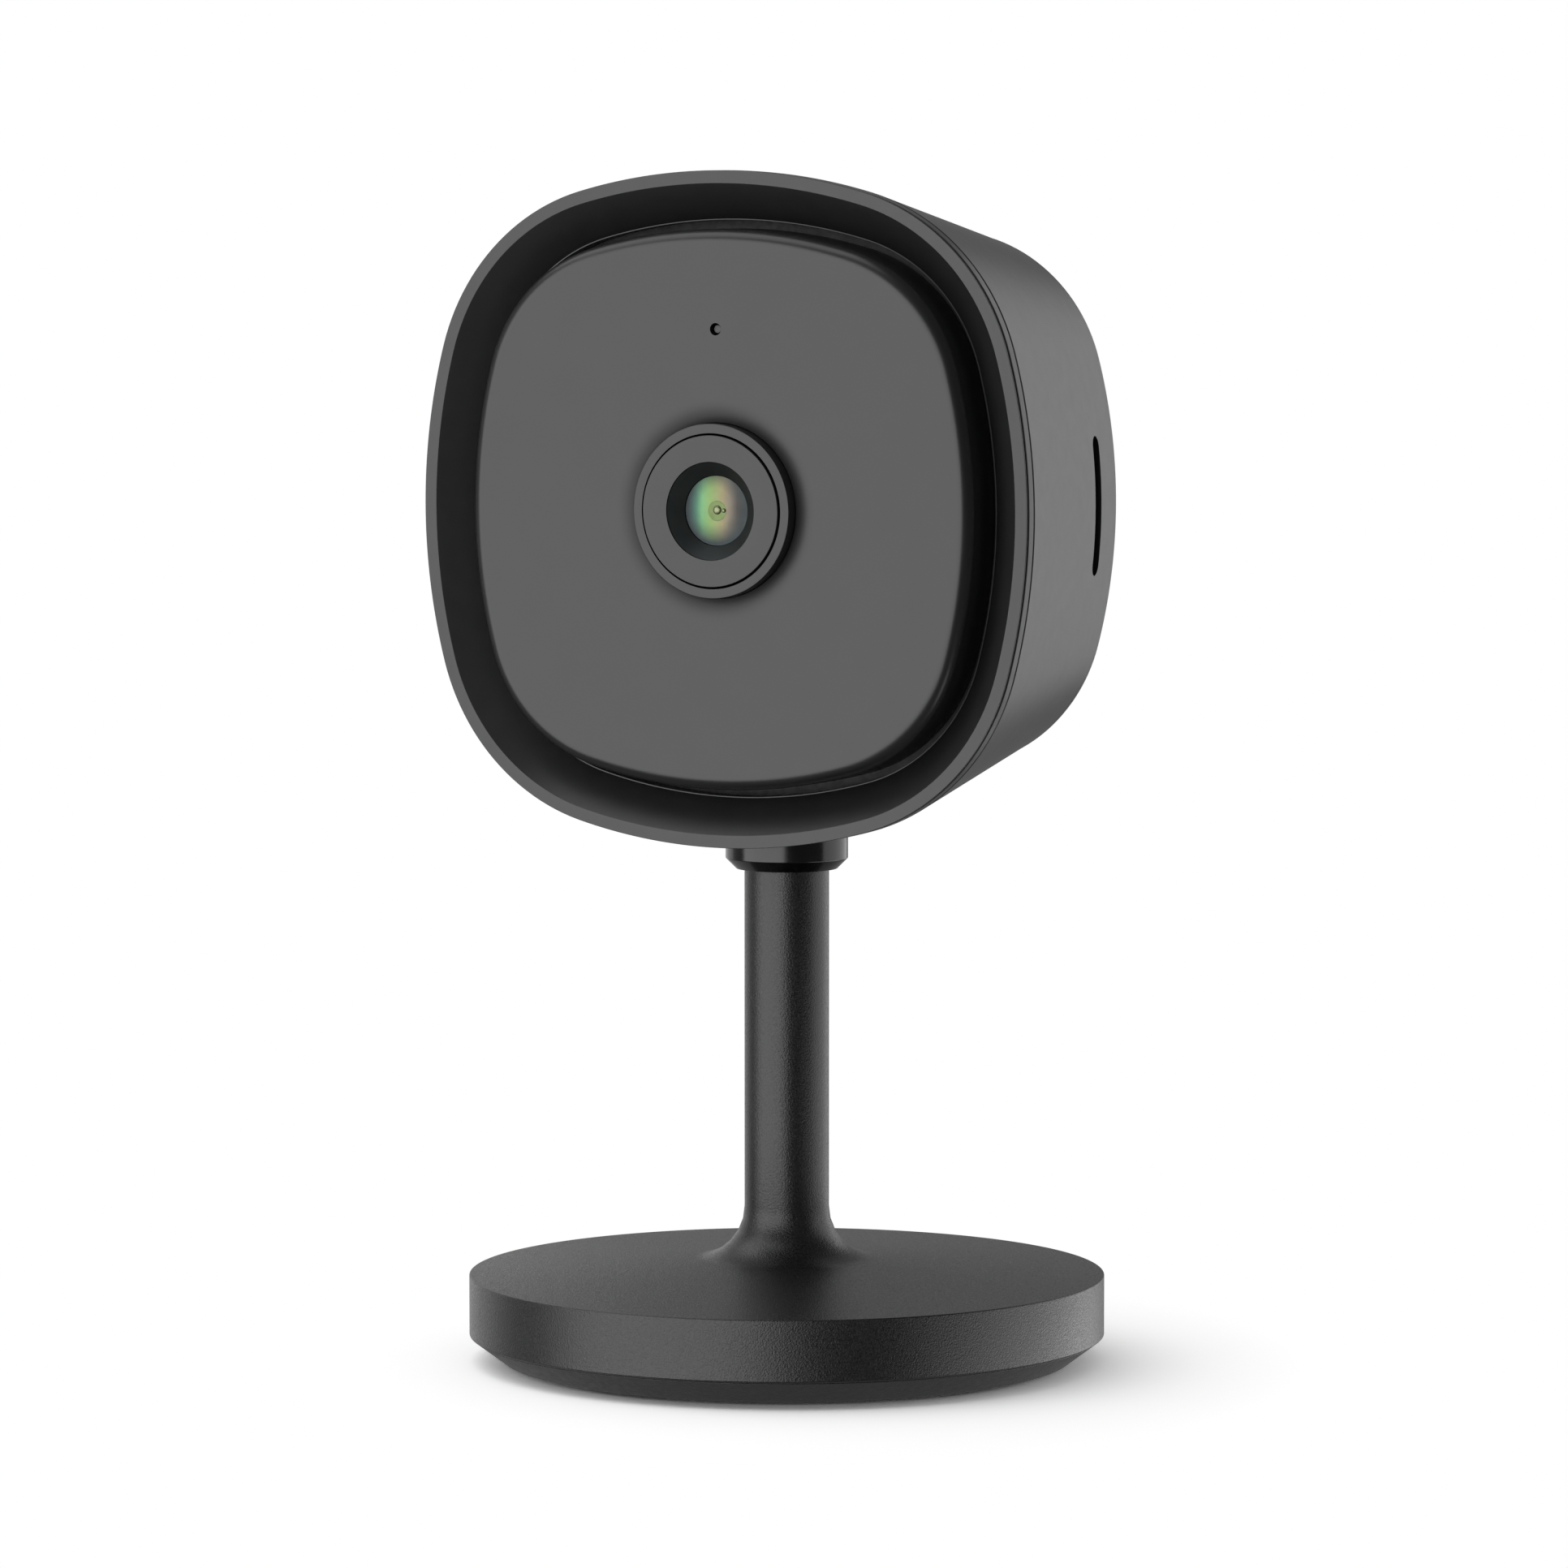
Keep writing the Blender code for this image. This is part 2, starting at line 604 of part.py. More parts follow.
def make_optics(look):
    """The lens from its outer ring back to the sensor, and the infrared filter that slides behind it."""
    ring_back_y = PANEL_BACK_Y
    pieces = [
        tube("lens_ring", LENS_GROOVE_R + 0.08 * MM, LENS_RING_R, LENS_FACE_Y, ring_back_y, look["shell"],
             steps=BIG_STEPS),
        tube("lens_face", LENS_MOUTH_R, LENS_GROOVE_R - 0.12 * MM, LENS_FACE_Y, LENS_FACE_Y + 0.6 * MM,
             look["panel"], steps=48),
    ]
    baffle_y = LENS_FACE_Y + 0.9 * MM
    baffle_back_y = LENS_FACE_Y + 3.0 * MM
    glass_bore_r = LENS_GLASS_R + GAP
    profile = [
        (LENS_MOUTH_R - 0.2 * MM, baffle_y),
        (LENS_MOUTH_R + 1 * MM, baffle_y),
        (LENS_MOUTH_R + 1 * MM, baffle_back_y),
        (glass_bore_r, baffle_back_y),
        (glass_bore_r, baffle_y + 0.7 * MM),
    ]
    pieces.append(turned("lens_baffle", profile, look["gloss"], ring=True))

    def element(name, radius, front_y, edge_y, back_y, rear_y):
        """A round lens: a front dome from its apex to its edge, then a rear dome."""
        dome = []
        for part in (0.12, 0.45, 0.75, 1.0):
            dome.append((radius * part, front_y + (edge_y - front_y) * part ** 2))
        for part in (1.0, 0.6, 0.12):
            dome.append((radius * part, rear_y + (back_y - rear_y) * part ** 2))
        return turned(name, dome, look["glass"], steps=24)

    bore_r = BARREL_BORE_R - GAP
    pieces += [
        element("front_element", LENS_GLASS_R, -13.7 * MM, -13.1 * MM, -12.6 * MM, -12.4 * MM),
        tube("lens_barrel", BARREL_BORE_R, BARREL_R, -11.7 * MM, -2.5 * MM, look["matte"]),
        element("second_element", bore_r, -11.0 * MM, -10.6 * MM, -9.9 * MM, -9.6 * MM),
        tube("lens_spacer", 3.2 * MM, bore_r, -9.2 * MM, -7.7 * MM, look["matte"], steps=24),
        element("rear_element", bore_r, -7.3 * MM, -6.9 * MM, -6.0 * MM, -5.5 * MM),
    ]

    holder_y = -5.0 * MM
    holder = slab("lens_holder", 0, HEAD_Z, (2 * HOLDER_HALF, 2 * HOLDER_HALF), holder_y,
                  MAIN_BOARD_Y - GAP - holder_y, look["matte"], 0.4 * MM)
    bore = rod("holder_bore", BARREL_R + GAP, -10 * MM, 5 * MM, look["matte"], steps=32)
    filter_low, filter_high = FILTER_Y - 0.4 * MM, FILTER_Y + 1.0 * MM
    track_low, track_high = (0, filter_low, HEAD_Z - 3.9 * MM), (12 * MM, filter_high, HEAD_Z + 3.9 * MM)
    track = block("filter_track", track_low, track_high, look["matte"])
    cut(holder, bore, track)
    coil_size = (5 * MM, 6 * MM)
    solenoid = slab("filter_solenoid", -10.4 * MM, HEAD_Z, coil_size, -3.2 * MM, 4.4 * MM, look["chip"],
                    0.3 * MM)
    sensor_y = MAIN_BOARD_Y - 1.1 * MM
    sensor = slab("image_sensor", 0, HEAD_Z, (7 * MM, 6 * MM), sensor_y, 0.8 * MM, look["chip"], 0.1 * MM)
    pieces += [holder, bore, track, solenoid, sensor]
    return pieces


def make_filter(look):
    """The infrared filter in its carriage, a thin slide across the lens's axis."""
    return slab("ir_cut_filter", 0, HEAD_Z, (8 * MM, 7 * MM), FILTER_Y, 0.6 * MM, look["glass"], 0.1 * MM)


def make_lamps(look):
    """The board behind the front panel: four infrared lamps, and the status lamp under its light pipe."""
    board = skin(
        "lamp_board",
        [
            hoop(10.2 * MM, LAMP_BOARD_Y),
            outline(21.5 * MM, LAMP_BOARD_Y),
            outline(21.5 * MM, LAMP_BOARD_Y + BOARD),
            hoop(10.2 * MM, LAMP_BOARD_Y + BOARD),
        ],
        look["board"], ring=True,
    )
    pieces = [board]
    lamp_y = LAMP_BOARD_Y - GAP - 1.2 * MM
    reach = 12.5 * MM
    for k, (x, z) in enumerate(((reach, reach), (-reach, reach), (-reach, -reach), (reach, -reach))):
        size, name = (3.2 * MM, 3.2 * MM), f"ir_lamp_{k + 1}"
        pieces.append(slab(name, x, HEAD_Z + z, size, lamp_y, 1.2 * MM, look["lamp"], 0.3 * MM))
    status_y = LAMP_BOARD_Y - GAP - 0.6 * MM
    size = (1.6 * MM, 1.0 * MM)
    pieces.append(slab("status_lamp", 0, PINHOLE_Z, size, status_y, 0.6 * MM, look["lamp"]))
    pipe = [
        (0.36 * MM, PANEL_Y + 0.6 * MM),
        (0.36 * MM, PANEL_Y + PANEL_WALL + GAP),
        (1.0 * MM, PANEL_Y + PANEL_WALL + GAP),
        (1.0 * MM, PANEL_Y + PANEL_WALL + 2 * GAP),
    ]
    pieces.append(turned("light_pipe", pipe, look["panel"], Y_AXIS, (0, 0, PINHOLE_Z), SMALL_STEPS))
    seal_y = PANEL_Y + PANEL_WALL + GAP
    pieces.append(tube("light_seal", 8.6 * MM, 9.8 * MM, seal_y, PANEL_BACK_Y, look["rubber"]))
    return pieces


def make_electronics(look):
    """The main board with its chip, heat sink and aerial, the power board with its port, and what sounds."""
    main_back_y = MAIN_BOARD_Y + BOARD
    main_high_z = HEAD_Z + 19.5 * MM
    main_board = slab("main_board", 0, (BOARD_LOW_Z + main_high_z) / 2, (38 * MM, main_high_z - BOARD_LOW_Z),
                      MAIN_BOARD_Y, BOARD, look["board"])
    pieces = [main_board]
    for k, (x, z) in enumerate(board_screw_places()):
        hole = rod(f"board_hole_{k}", 1.05 * MM, 0, 8 * MM, look["board"], Y_AXIS, (x, 0, z), 12)
        cut(main_board, hole)
        place = (x, main_back_y + GAP + 0.9 * MM, z)
        pieces.append(hole)
        pieces.append(screw(f"board_screw_{k + 1}", place, Y_AXIS, 1.7 * MM, 0.9 * MM, 0.7 * MM, 4 * MM,
                            look["steel"]))
    chip_y = main_back_y + GAP
    pieces.append(slab("processor", 0, HEAD_Z, (12 * MM, 12 * MM), chip_y, 1.0 * MM, look["chip"], 0.1 * MM))

    sink_y = chip_y + 1.0 * MM + GAP
    root_y, fin_top_y = sink_y + 1.0 * MM, sink_y + 2.5 * MM
    comb = [(-8 * MM, sink_y), (8 * MM, sink_y)]
    for right in (8 * MM, 4.5 * MM, 1 * MM, -2.5 * MM, -6 * MM):
        left = right - 2 * MM
        comb += [(right, root_y), (right, fin_top_y), (left, fin_top_y), (left, root_y)]
    comb = [point for point in comb if point not in ((8 * MM, root_y), (-8 * MM, root_y))]
    sink_outline = [Vector((x, y, 0)) for x, y in comb]
    low_z, high_z = HEAD_Z - 8 * MM, HEAD_Z + 8 * MM
    pieces.append(prism("heat_sink", sink_outline, low_z, high_z, look["aluminium"], Z_AXIS))

    power_back_y = POWER_BOARD_Y + BOARD
    on_power_y = power_back_y + GAP
    power_z, power_size = BOARD_LOW_Z + 8.4 * MM, (36 * MM, 16.8 * MM)
    socket_size = (14 * MM, 14.4 * MM)
    pieces += [
        slab("power_board", 0, power_z, power_size, POWER_BOARD_Y, BOARD, look["board"]),
        slab("board_header", -8 * MM, PORT_Z, (9 * MM, 2.6 * MM), chip_y,
             POWER_BOARD_Y - GAP - chip_y, look["nylon"], 0.2 * MM),
        slab("card_socket", 16.6 * MM, HEAD_Z, socket_size, on_power_y, 2.2 * MM, look["steel"], 0.2 * MM),
        slab("reset_switch", BUTTON_X, PORT_Z, (3.5 * MM, 3.5 * MM), on_power_y, 0.6 * MM, look["chip"]),
        slab("wifi_aerial", 0, 101.2 * MM, (22 * MM, 0.4 * MM), -4 * MM, 7 * MM, look["board"]),
    ]
    port_size, port_length = (8.0 * MM, 2.8 * MM), BACK_Y - 0.5 * MM - on_power_y
    port = slab("usb_port", 0, PORT_Z, port_size, on_power_y, port_length, look["steel"], 0.3 * MM)
    socket = slab("port_socket", 0, PORT_Z, (7.2 * MM, 2.0 * MM), on_power_y + 1 * MM, 8 * MM, look["steel"])
    tongue_y = on_power_y + 0.5 * MM
    tongue = slab("port_tongue", 0, PORT_Z, (5.4 * MM, 0.7 * MM), tongue_y, 5.5 * MM, look["chip"])
    join(cut(port, socket), tongue)

    front_y, back_y = BACK_Y - WALL - GAP - 2.7 * MM, BACK_Y - WALL - GAP
    speaker = [
        (SPEAKER_R - 2 * MM, front_y),
        (SPEAKER_R, front_y + 0.6 * MM),
        (SPEAKER_R, back_y),
        (SPEAKER_R - 0.8 * MM, back_y),
        (SPEAKER_R - 1.6 * MM, back_y - 0.5 * MM),
        (SPEAKER_R - 2.6 * MM, back_y - 0.2 * MM),
        (2.6 * MM, back_y - 1.2 * MM),
        (1.2 * MM, back_y - 0.8 * MM),
    ]
    place = (0, 0, SPEAKER_Z)
    pieces += [port, socket, tongue, turned("speaker", speaker, look["matte"], Y_AXIS, place)]
    x, y = MICROPHONE
    low_z = 55.4 * MM
    pieces.append(rod("microphone", 2 * MM, low_z, low_z + 1.5 * MM, look["aluminium"], Z_AXIS, (x, y, 0)))
    return pieces


def make_reset_button(look):
    """The plunger that presses the reset switch: a round tip, a flange inside the wall, and a stem."""
    flange_y = BACK_Y - 3.1 * MM
    profile = [
        (1.1 * MM, POWER_BOARD_Y + BOARD + GAP + 1.3 * MM),
        (1.1 * MM, flange_y),
        (2.1 * MM, flange_y),
        (2.1 * MM, flange_y + 0.7 * MM),
        (BUTTON_R, flange_y + 0.7 * MM),
        (BUTTON_R, BACK_Y - 0.5 * MM),
        (BUTTON_R - 0.2 * MM, BACK_Y - 0.3 * MM),
    ]
    return turned("reset_button", profile, look["rubber"], Y_AXIS, (BUTTON_X, 0, PORT_Z), SMALL_STEPS)


def main():
    clear_scene()
    look = materials()
    make_stand(look)
    make_base_fittings(look)

    swivel_place = (0, 0, COLLAR_FOOT_Z)
    swivel = pivot("swivel_axis", swivel_place)
    hang(swivel, swivel_place, make_swivel(look))

    tilt_place = (0, 0, TILT_Z)
    tilt = pivot("tilt_axis", tilt_place, swivel)
    head = make_tilt_mount(look) + make_rear_housing(look) + make_front(look)
    head += make_optics(look) + make_lamps(look) + make_electronics(look)
    hang(tilt, tilt_place, head)
    for place, piece in (
        ((0, FILTER_Y, HEAD_Z), make_filter(look)),
        ((BUTTON_X, BACK_Y, PORT_Z), make_reset_button(look)),
    ):
        slide = pivot(f"{piece.name}_slide", place)
        hang(slide, place, [piece])
        slide.parent = tilt
        slide.location = Vector(place) - Vector(tilt_place)


main()
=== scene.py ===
"""Looks of the indoor security camera: fine shells, lens and finishes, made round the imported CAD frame."""

import json
import math

import bmesh
import bpy
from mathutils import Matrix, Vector


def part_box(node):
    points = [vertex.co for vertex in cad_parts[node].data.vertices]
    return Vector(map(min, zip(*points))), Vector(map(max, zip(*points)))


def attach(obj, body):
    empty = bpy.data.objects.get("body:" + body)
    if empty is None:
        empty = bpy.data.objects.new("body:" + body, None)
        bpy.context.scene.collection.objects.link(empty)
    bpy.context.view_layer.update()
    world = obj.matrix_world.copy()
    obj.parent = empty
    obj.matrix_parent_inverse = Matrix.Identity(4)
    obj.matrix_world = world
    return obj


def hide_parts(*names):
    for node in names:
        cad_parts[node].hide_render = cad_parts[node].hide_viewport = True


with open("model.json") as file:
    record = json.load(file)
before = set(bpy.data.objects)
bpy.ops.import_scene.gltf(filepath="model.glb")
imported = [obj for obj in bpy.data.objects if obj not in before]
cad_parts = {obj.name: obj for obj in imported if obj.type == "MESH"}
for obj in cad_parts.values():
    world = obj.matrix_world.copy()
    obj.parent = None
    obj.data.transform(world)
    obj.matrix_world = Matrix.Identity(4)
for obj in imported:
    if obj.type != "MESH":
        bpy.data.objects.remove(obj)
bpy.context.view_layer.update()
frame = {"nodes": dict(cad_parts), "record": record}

MM = 0.001
X_AXIS, Y_AXIS, Z_AXIS = Vector((1, 0, 0)), Vector((0, 1, 0)), Vector((0, 0, 1))

# Places and sizes read from the frame
BEZEL_LOW, BEZEL_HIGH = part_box("front_bezel")
HOUSING_LOW, HOUSING_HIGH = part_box("rear_housing")
BAND_LOW, BAND_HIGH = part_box("trim_band")
PANEL_LOW, PANEL_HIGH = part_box("front_panel")
RING_LOW, RING_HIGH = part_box("lens_ring")
FACE_LOW, FACE_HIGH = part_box("lens_face")
GLASS_LOW, GLASS_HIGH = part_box("front_element")
STAND_LOW, STAND_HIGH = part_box("stand")
COVER_LOW, COVER_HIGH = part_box("bottom_cover")
PAD_LOW, PAD_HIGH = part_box("foot_pad")
COLLAR_LOW, COLLAR_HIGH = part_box("swivel_collar")
PIPE_LOW, PIPE_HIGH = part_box("light_pipe")
PORT_LOW, PORT_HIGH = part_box("usb_port")
BUTTON_LOW, BUTTON_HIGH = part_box("reset_button")
SPEAKER_LOW, SPEAKER_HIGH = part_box("speaker")
SOCKET_LOW, SOCKET_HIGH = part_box("card_socket")
MICROPHONE_LOW, MICROPHONE_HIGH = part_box("microphone")
HEAD_Z = (BEZEL_LOW.z + BEZEL_HIGH.z) / 2
HEAD_HALF = (BEZEL_HIGH.x - BEZEL_LOW.x) / 2
RIM_Y = BEZEL_LOW.y
BACK_Y = HOUSING_HIGH.y
PANEL_HALF = (PANEL_HIGH.x - PANEL_LOW.x) / 2
RING_R = (RING_HIGH.x - RING_LOW.x) / 2
FACE_R = (FACE_HIGH.x - FACE_LOW.x) / 2
BASE_R = (STAND_HIGH.x - STAND_LOW.x) / 2
COVER_R = (COVER_HIGH.x - COVER_LOW.x) / 2
PAD_R = (PAD_HIGH.x - PAD_LOW.x) / 2
COLLAR_R = (COLLAR_HIGH.x - COLLAR_LOW.x) / 2

# The head's outline: arcs with centres that stay put as the half width changes
SIDE_BOW = 23.8 * MM
CORNER_INSET = 10.2 * MM
CORNER_CENTRE = (math.sqrt(2 * (SIDE_BOW + CORNER_INSET) ** 2 - SIDE_BOW**2) - SIDE_BOW) / 2
BACK_HALF = HEAD_HALF - 4.44 * MM
PANEL_EDGE_R = 1.2 * MM

# The rear shell's holes
PORT_MARGIN_X, PORT_MARGIN_Z, PORT_CORNER_R = 0.5 * MM, 0.4 * MM, 0.8 * MM
BUTTON_HOLE_R = 1.7 * MM
GRILLE_RINGS, GRILLE_PITCH, GRILLE_HOLE_R = 3, 2.4 * MM, 0.6 * MM
CARD_SLOT_HALF, CARD_SLOT_HALF_LENGTH, CARD_SLOT_SHIFT = 1.0 * MM, 6.3 * MM, 0.1 * MM
CARD_SLOT_IN_X, CARD_SLOT_SKIN_X, CARD_SLOT_OUT_X, CARD_SLOT_UNDERCUT = 20 * MM, 26.1 * MM, 35 * MM, 1.3 * MM
NECK_SLOT_HALF, NECK_SLOT_FRONT, NECK_SLOT_BACK = 6.0 * MM, -9.4 * MM, 11.4 * MM
NECK_SLOT_LOW_Z, NECK_SLOT_HIGH_Z = 40 * MM, 56 * MM
SOUND_HOLE_R, SOUND_HOLE_LOW_Z, SOUND_HOLE_HIGH_Z = 0.5 * MM, 45 * MM, 58 * MM

# Fineness: steps round a piece, steps in a rounded edge, and the least angle of a sharp edge
STEPS = 240
ARC_STEPS = 6
SHARP_DEGREES = 30

# The camera: where it stands, and how far to the right of and below the rim's middle it aims
CAMERA_AZIMUTH = 27.1
CAMERA_PITCH = 4.83
CAMERA_DISTANCE = 692.4 * MM
AIM_RIGHT = 5.67 * MM
AIM_DOWN = 24.31 * MM
LENS_MM = 178.9
SENSOR_MM = 36
CLIP_START, CLIP_END = 0.01, 50

# Light: for gloss a dark room with a dim far wall and ground, for matt surfaces the even light and the key
ROOM_LEVEL = 0.1
WALL_LEVEL = 0.36
WALL_AZIMUTH, WALL_ELEVATION = CAMERA_AZIMUTH - 155, 5
WALL_FADE = (0.2, 0.85)
GROUND_LEVEL = 0.1
GROUND_FADE = (-0.4, -0.75)
SOFT_LEVEL = 0.45
KEY_LEVEL = 1.9

# Softboxes: name, azimuth from the camera, elevation, distance, width, height, radiance, height of the aim
AIM_Z = HEAD_Z * 0.7
KEY_BOX = "overhead"
SOFTBOXES = (
    ("left_front", -46, 0, 1.1, 2.0, 1.3, 2.8, AIM_Z),
    ("right_back", 113, 5, 1.1, 1.9, 1.1, 1.25, AIM_Z),
    ("paper_bounce", 88, 0, 0.13, 0.24, 0.06, 2.2, -0.046),
    ("back_left", -148, 3, 0.59, 0.6, 0.4, 0.55, 0.03),
    (KEY_BOX, -100, 62, 1.1, 1.1, 1.1, KEY_LEVEL, AIM_Z),
)

# Floor: its size, its drop below the foot pad, its paper's tones, and where it fades into the white world
FLOOR_HALF = 3.0
FLOOR_SQUARES = 8
FLOOR_DROP = 0.02 * MM
PAPER_GRAIN_SCALE = 900
PAPER_TONES = (1.3, 1.34)
FLOOR_FADE = (0.027, 0.056)
FLOOR_FADE_STRETCH = (1.2, 1, 1)

# Finishes, by the record's slot name or a name of their own. rough holds the size in mm and the amount of
# the roughness's variation, tint the same of the colour's, and grain the size and height of the bump in mm.
# A stretch squeezes the roughness and the grain along an axis.
VARYING = ("rough", "tint", "grain", "stretch")
BRUSHED = (1, 1, 12)
FINISHES = {
    "powder_coat": dict(
        colour=(0.007, 0.007, 0.0073), roughness=0.36,
        rough=(0.16, 0.09), tint=(0.16, 0.4), grain=(0.15, 0.03, 1.0),
    ),
    "satin_plastic": dict(
        colour=(0.028, 0.028, 0.029), roughness=0.36, specular=0.47,
        rough=(1.5, 0.02), tint=(4, 0.06), grain=(0.08, 0.0012),
    ),
    "shell_plastic": dict(
        colour=(0.014, 0.014, 0.0146), roughness=0.38, specular=0.4,
        rough=(1.5, 0.008), tint=(4, 0.03), grain=(0.08, 0.0012),
    ),
    "panel_plastic": dict(
        colour=(0.014, 0.014, 0.0146), roughness=0.33,
        rough=(2.5, 0.015), tint=(6, 0.05), grain=(0.07, 0.0008),
    ),
    "gloss_black": dict(
        colour=(0.004, 0.004, 0.0045), roughness=0.2, rough=(1.2, 0.02), tint=(2, 0.1), grain=(0.8, 0.0006)
    ),
    "matte_black": dict(
        colour=(0.008, 0.008, 0.008), roughness=0.62,
        rough=(0.5, 0.06), tint=(0.8, 0.15), grain=(0.12, 0.006),
    ),
    "rubber": dict(
        colour=(0.014, 0.014, 0.014), roughness=0.8, rough=(0.8, 0.06), tint=(1.2, 0.2), grain=(0.1, 0.01)
    ),
    "zinc_steel": dict(
        colour=(0.55, 0.56, 0.58), roughness=0.3, metallic=1.0,
        rough=(0.7, 0.08), tint=(1.4, 0.08), grain=(0.15, 0.002),
    ),
    "aluminium": dict(
        colour=(0.72, 0.73, 0.75), roughness=0.32, metallic=1.0,
        rough=(0.3, 0.06), grain=(0.1, 0.002), stretch=BRUSHED,
    ),
    "circuit_board": dict(
        colour=(0.008, 0.075, 0.035), roughness=0.35, rough=(1, 0.05), tint=(1.6, 0.25), grain=(0.3, 0.008)
    ),
    "chip_black": dict(
        colour=(0.012, 0.012, 0.013), roughness=0.5, rough=(0.4, 0.06), tint=(0.8, 0.15), grain=(0.08, 0.004)
    ),
    "clear_epoxy": dict(
        colour=(0.5, 0.5, 0.55), roughness=0.12, rough=(0.6, 0.04), tint=(0.8, 0.1), grain=(0.3, 0.002)
    ),
    # The card socket's black is painted shade inside the card slot, in place of its steel finish.
    "socket_painted_shade": dict(
        colour=(0.01, 0.01, 0.0105), roughness=0.5, rough=(0.6, 0.06), tint=(0.8, 0.1), grain=(0.1, 0.003)
    ),
    "nylon": dict(
        colour=(0.62, 0.62, 0.6), roughness=0.45, rough=(0.6, 0.05), tint=(0.8, 0.05), grain=(0.1, 0.003)
    ),
    "coated_glass": dict(
        colour=(0.55, 0.75, 0.62), roughness=0.03, ior=1.6, transmission=0.9,
        rough=(1.5, 0.01), tint=(2, 0.05),
    ),
    "matte_coat": dict(
        colour=(0.022, 0.022, 0.0228), roughness=0.42, rough=(0.6, 0.05), grain=(0.15, 0.03, 1.0)
    ),
    "cone_black": dict(
        colour=(0.028, 0.033, 0.033), roughness=0.5, metallic=0.6, specular=0.3,
        rough=(0.8, 0.04), grain=(0.1, 0.001),
    ),
    "lens_iris": dict(colour=(0.115, 0.152, 0.066), roughness=0.46, metallic=1.0, rough=(0.5, 0.04)),
    # The glint finish is for painted highlights: small domes standing for glints in the lens's inner
    # elements.
    "lens_glint": dict(colour=(0.22, 0.24, 0.14), roughness=0.45, metallic=1.0, rough=(0.3, 0.04)),
    "status_pipe": dict(colour=(0.05, 0.05, 0.05), roughness=0.4, rough=(0.3, 0.05)),
}

# The coated glass's painted reflection from side to side: how far across, and the colour there
PAINTED_REFLECTION_STOPS = (
    (0.05, (0.040, 0.050, 0.053)),
    (0.17, (0.060, 0.135, 0.100)),
    (0.28, (0.110, 0.225, 0.115)),
    (0.40, (0.140, 0.215, 0.086)),
    (0.61, (0.180, 0.160, 0.094)),
    (0.72, (0.125, 0.110, 0.087)),
    (0.84, (0.060, 0.053, 0.048)),
    (0.95, (0.034, 0.034, 0.034)),
)
PAINTED_REFLECTION_SLATE = (0.036, 0.043, 0.045)
PAINTED_REFLECTION_RISE = 0.35 * MM
PAINTED_REFLECTION_FADE = (1.6 * MM, 3.2 * MM)


def outline(half, turn):
    """How far the head's outline lies from its middle in a direction: bowed sides, with rounder corners."""
    side_r, corner_r = half + SIDE_BOW, half - CORNER_INSET
    join_turn = math.atan2(CORNER_CENTRE, CORNER_CENTRE + SIDE_BOW)
    join_x, join_z = side_r * math.cos(join_turn) - SIDE_BOW, side_r * math.sin(join_turn)
    turn = abs((turn + math.pi / 4) % (math.pi / 2) - math.pi / 4)
    if turn < math.atan2(join_z, join_x):
        middle = -SIDE_BOW * math.cos(turn)
        return middle + math.sqrt(middle**2 - SIDE_BOW**2 + side_r**2)
    middle = CORNER_CENTRE * (math.cos(turn) + math.sin(turn))
    return middle + math.sqrt(middle**2 - 2 * CORNER_CENTRE**2 + corner_r**2)


def hoop(radius, turn):
    """A circle's reach, the same in every direction."""
    return radius


def around(axis, centre, out, turn, level):
    """The point at a distance from the axis, in the direction of the turn, at a level along it."""
    side = Y_AXIS if axis.x else X_AXIS
    up = Z_AXIS if axis.y else axis.cross(side)
    middle = centre + axis * (level - centre.dot(axis))
    return middle + side * out * math.cos(turn) + up * out * math.sin(turn)


def rounded(corners, closed, steps=ARC_STEPS):
    """Turns each corner (out, level, radius, shape) with a radius into an arc of points without radii."""
    points = []
    count = len(corners)
    for k, (out, level, radius, shape) in enumerate(corners):
        if not radius or (not closed and k in (0, count - 1)):
            points.append((out, level, shape))
            continue
        here = Vector((out, level))
        before = (Vector(corners[k - 1][:2]) - here).normalized()
        after = (Vector(corners[(k + 1) % count][:2]) - here).normalized()
        half = before.angle(after) / 2
        centre = here + (before + after).normalized() * (radius / math.sin(half))
        start = here + before * (radius / math.tan(half)) - centre
        end = here + after * (radius / math.tan(half)) - centre
        first = math.atan2(start.y, start.x)
        sweep = (math.atan2(end.y, end.x) - first + math.pi) % (2 * math.pi) - math.pi
        for step in range(steps + 1):
            turn = first + sweep * step / steps
            points.append((centre.x + radius * math.cos(turn), centre.y + radius * math.sin(turn), shape))
    return points


def piece_from(name, mesh):
    """Makes the bmesh an object with its faces pointing out, smooth but for its sharp edges."""
    bmesh.ops.recalc_face_normals(mesh, faces=mesh.faces)
    if mesh.calc_volume(signed=True) < 0:
        bmesh.ops.reverse_faces(mesh, faces=mesh.faces)
    data = bpy.data.meshes.new(name)
    mesh.to_mesh(data)
    mesh.free()
    data.shade_smooth()
    data.set_sharp_from_angle(angle=math.radians(SHARP_DEGREES))
    obj = bpy.data.objects.new(name, data)
    bpy.context.scene.collection.objects.link(obj)
    return obj


def weighted(obj):
    """Keeps flat faces flat in the shading beside small rounded edges."""
    modifier = obj.modifiers.new("weighted_normals", "WEIGHTED_NORMAL")
    modifier.keep_sharp = True
    modifier.weight = 80
    return obj


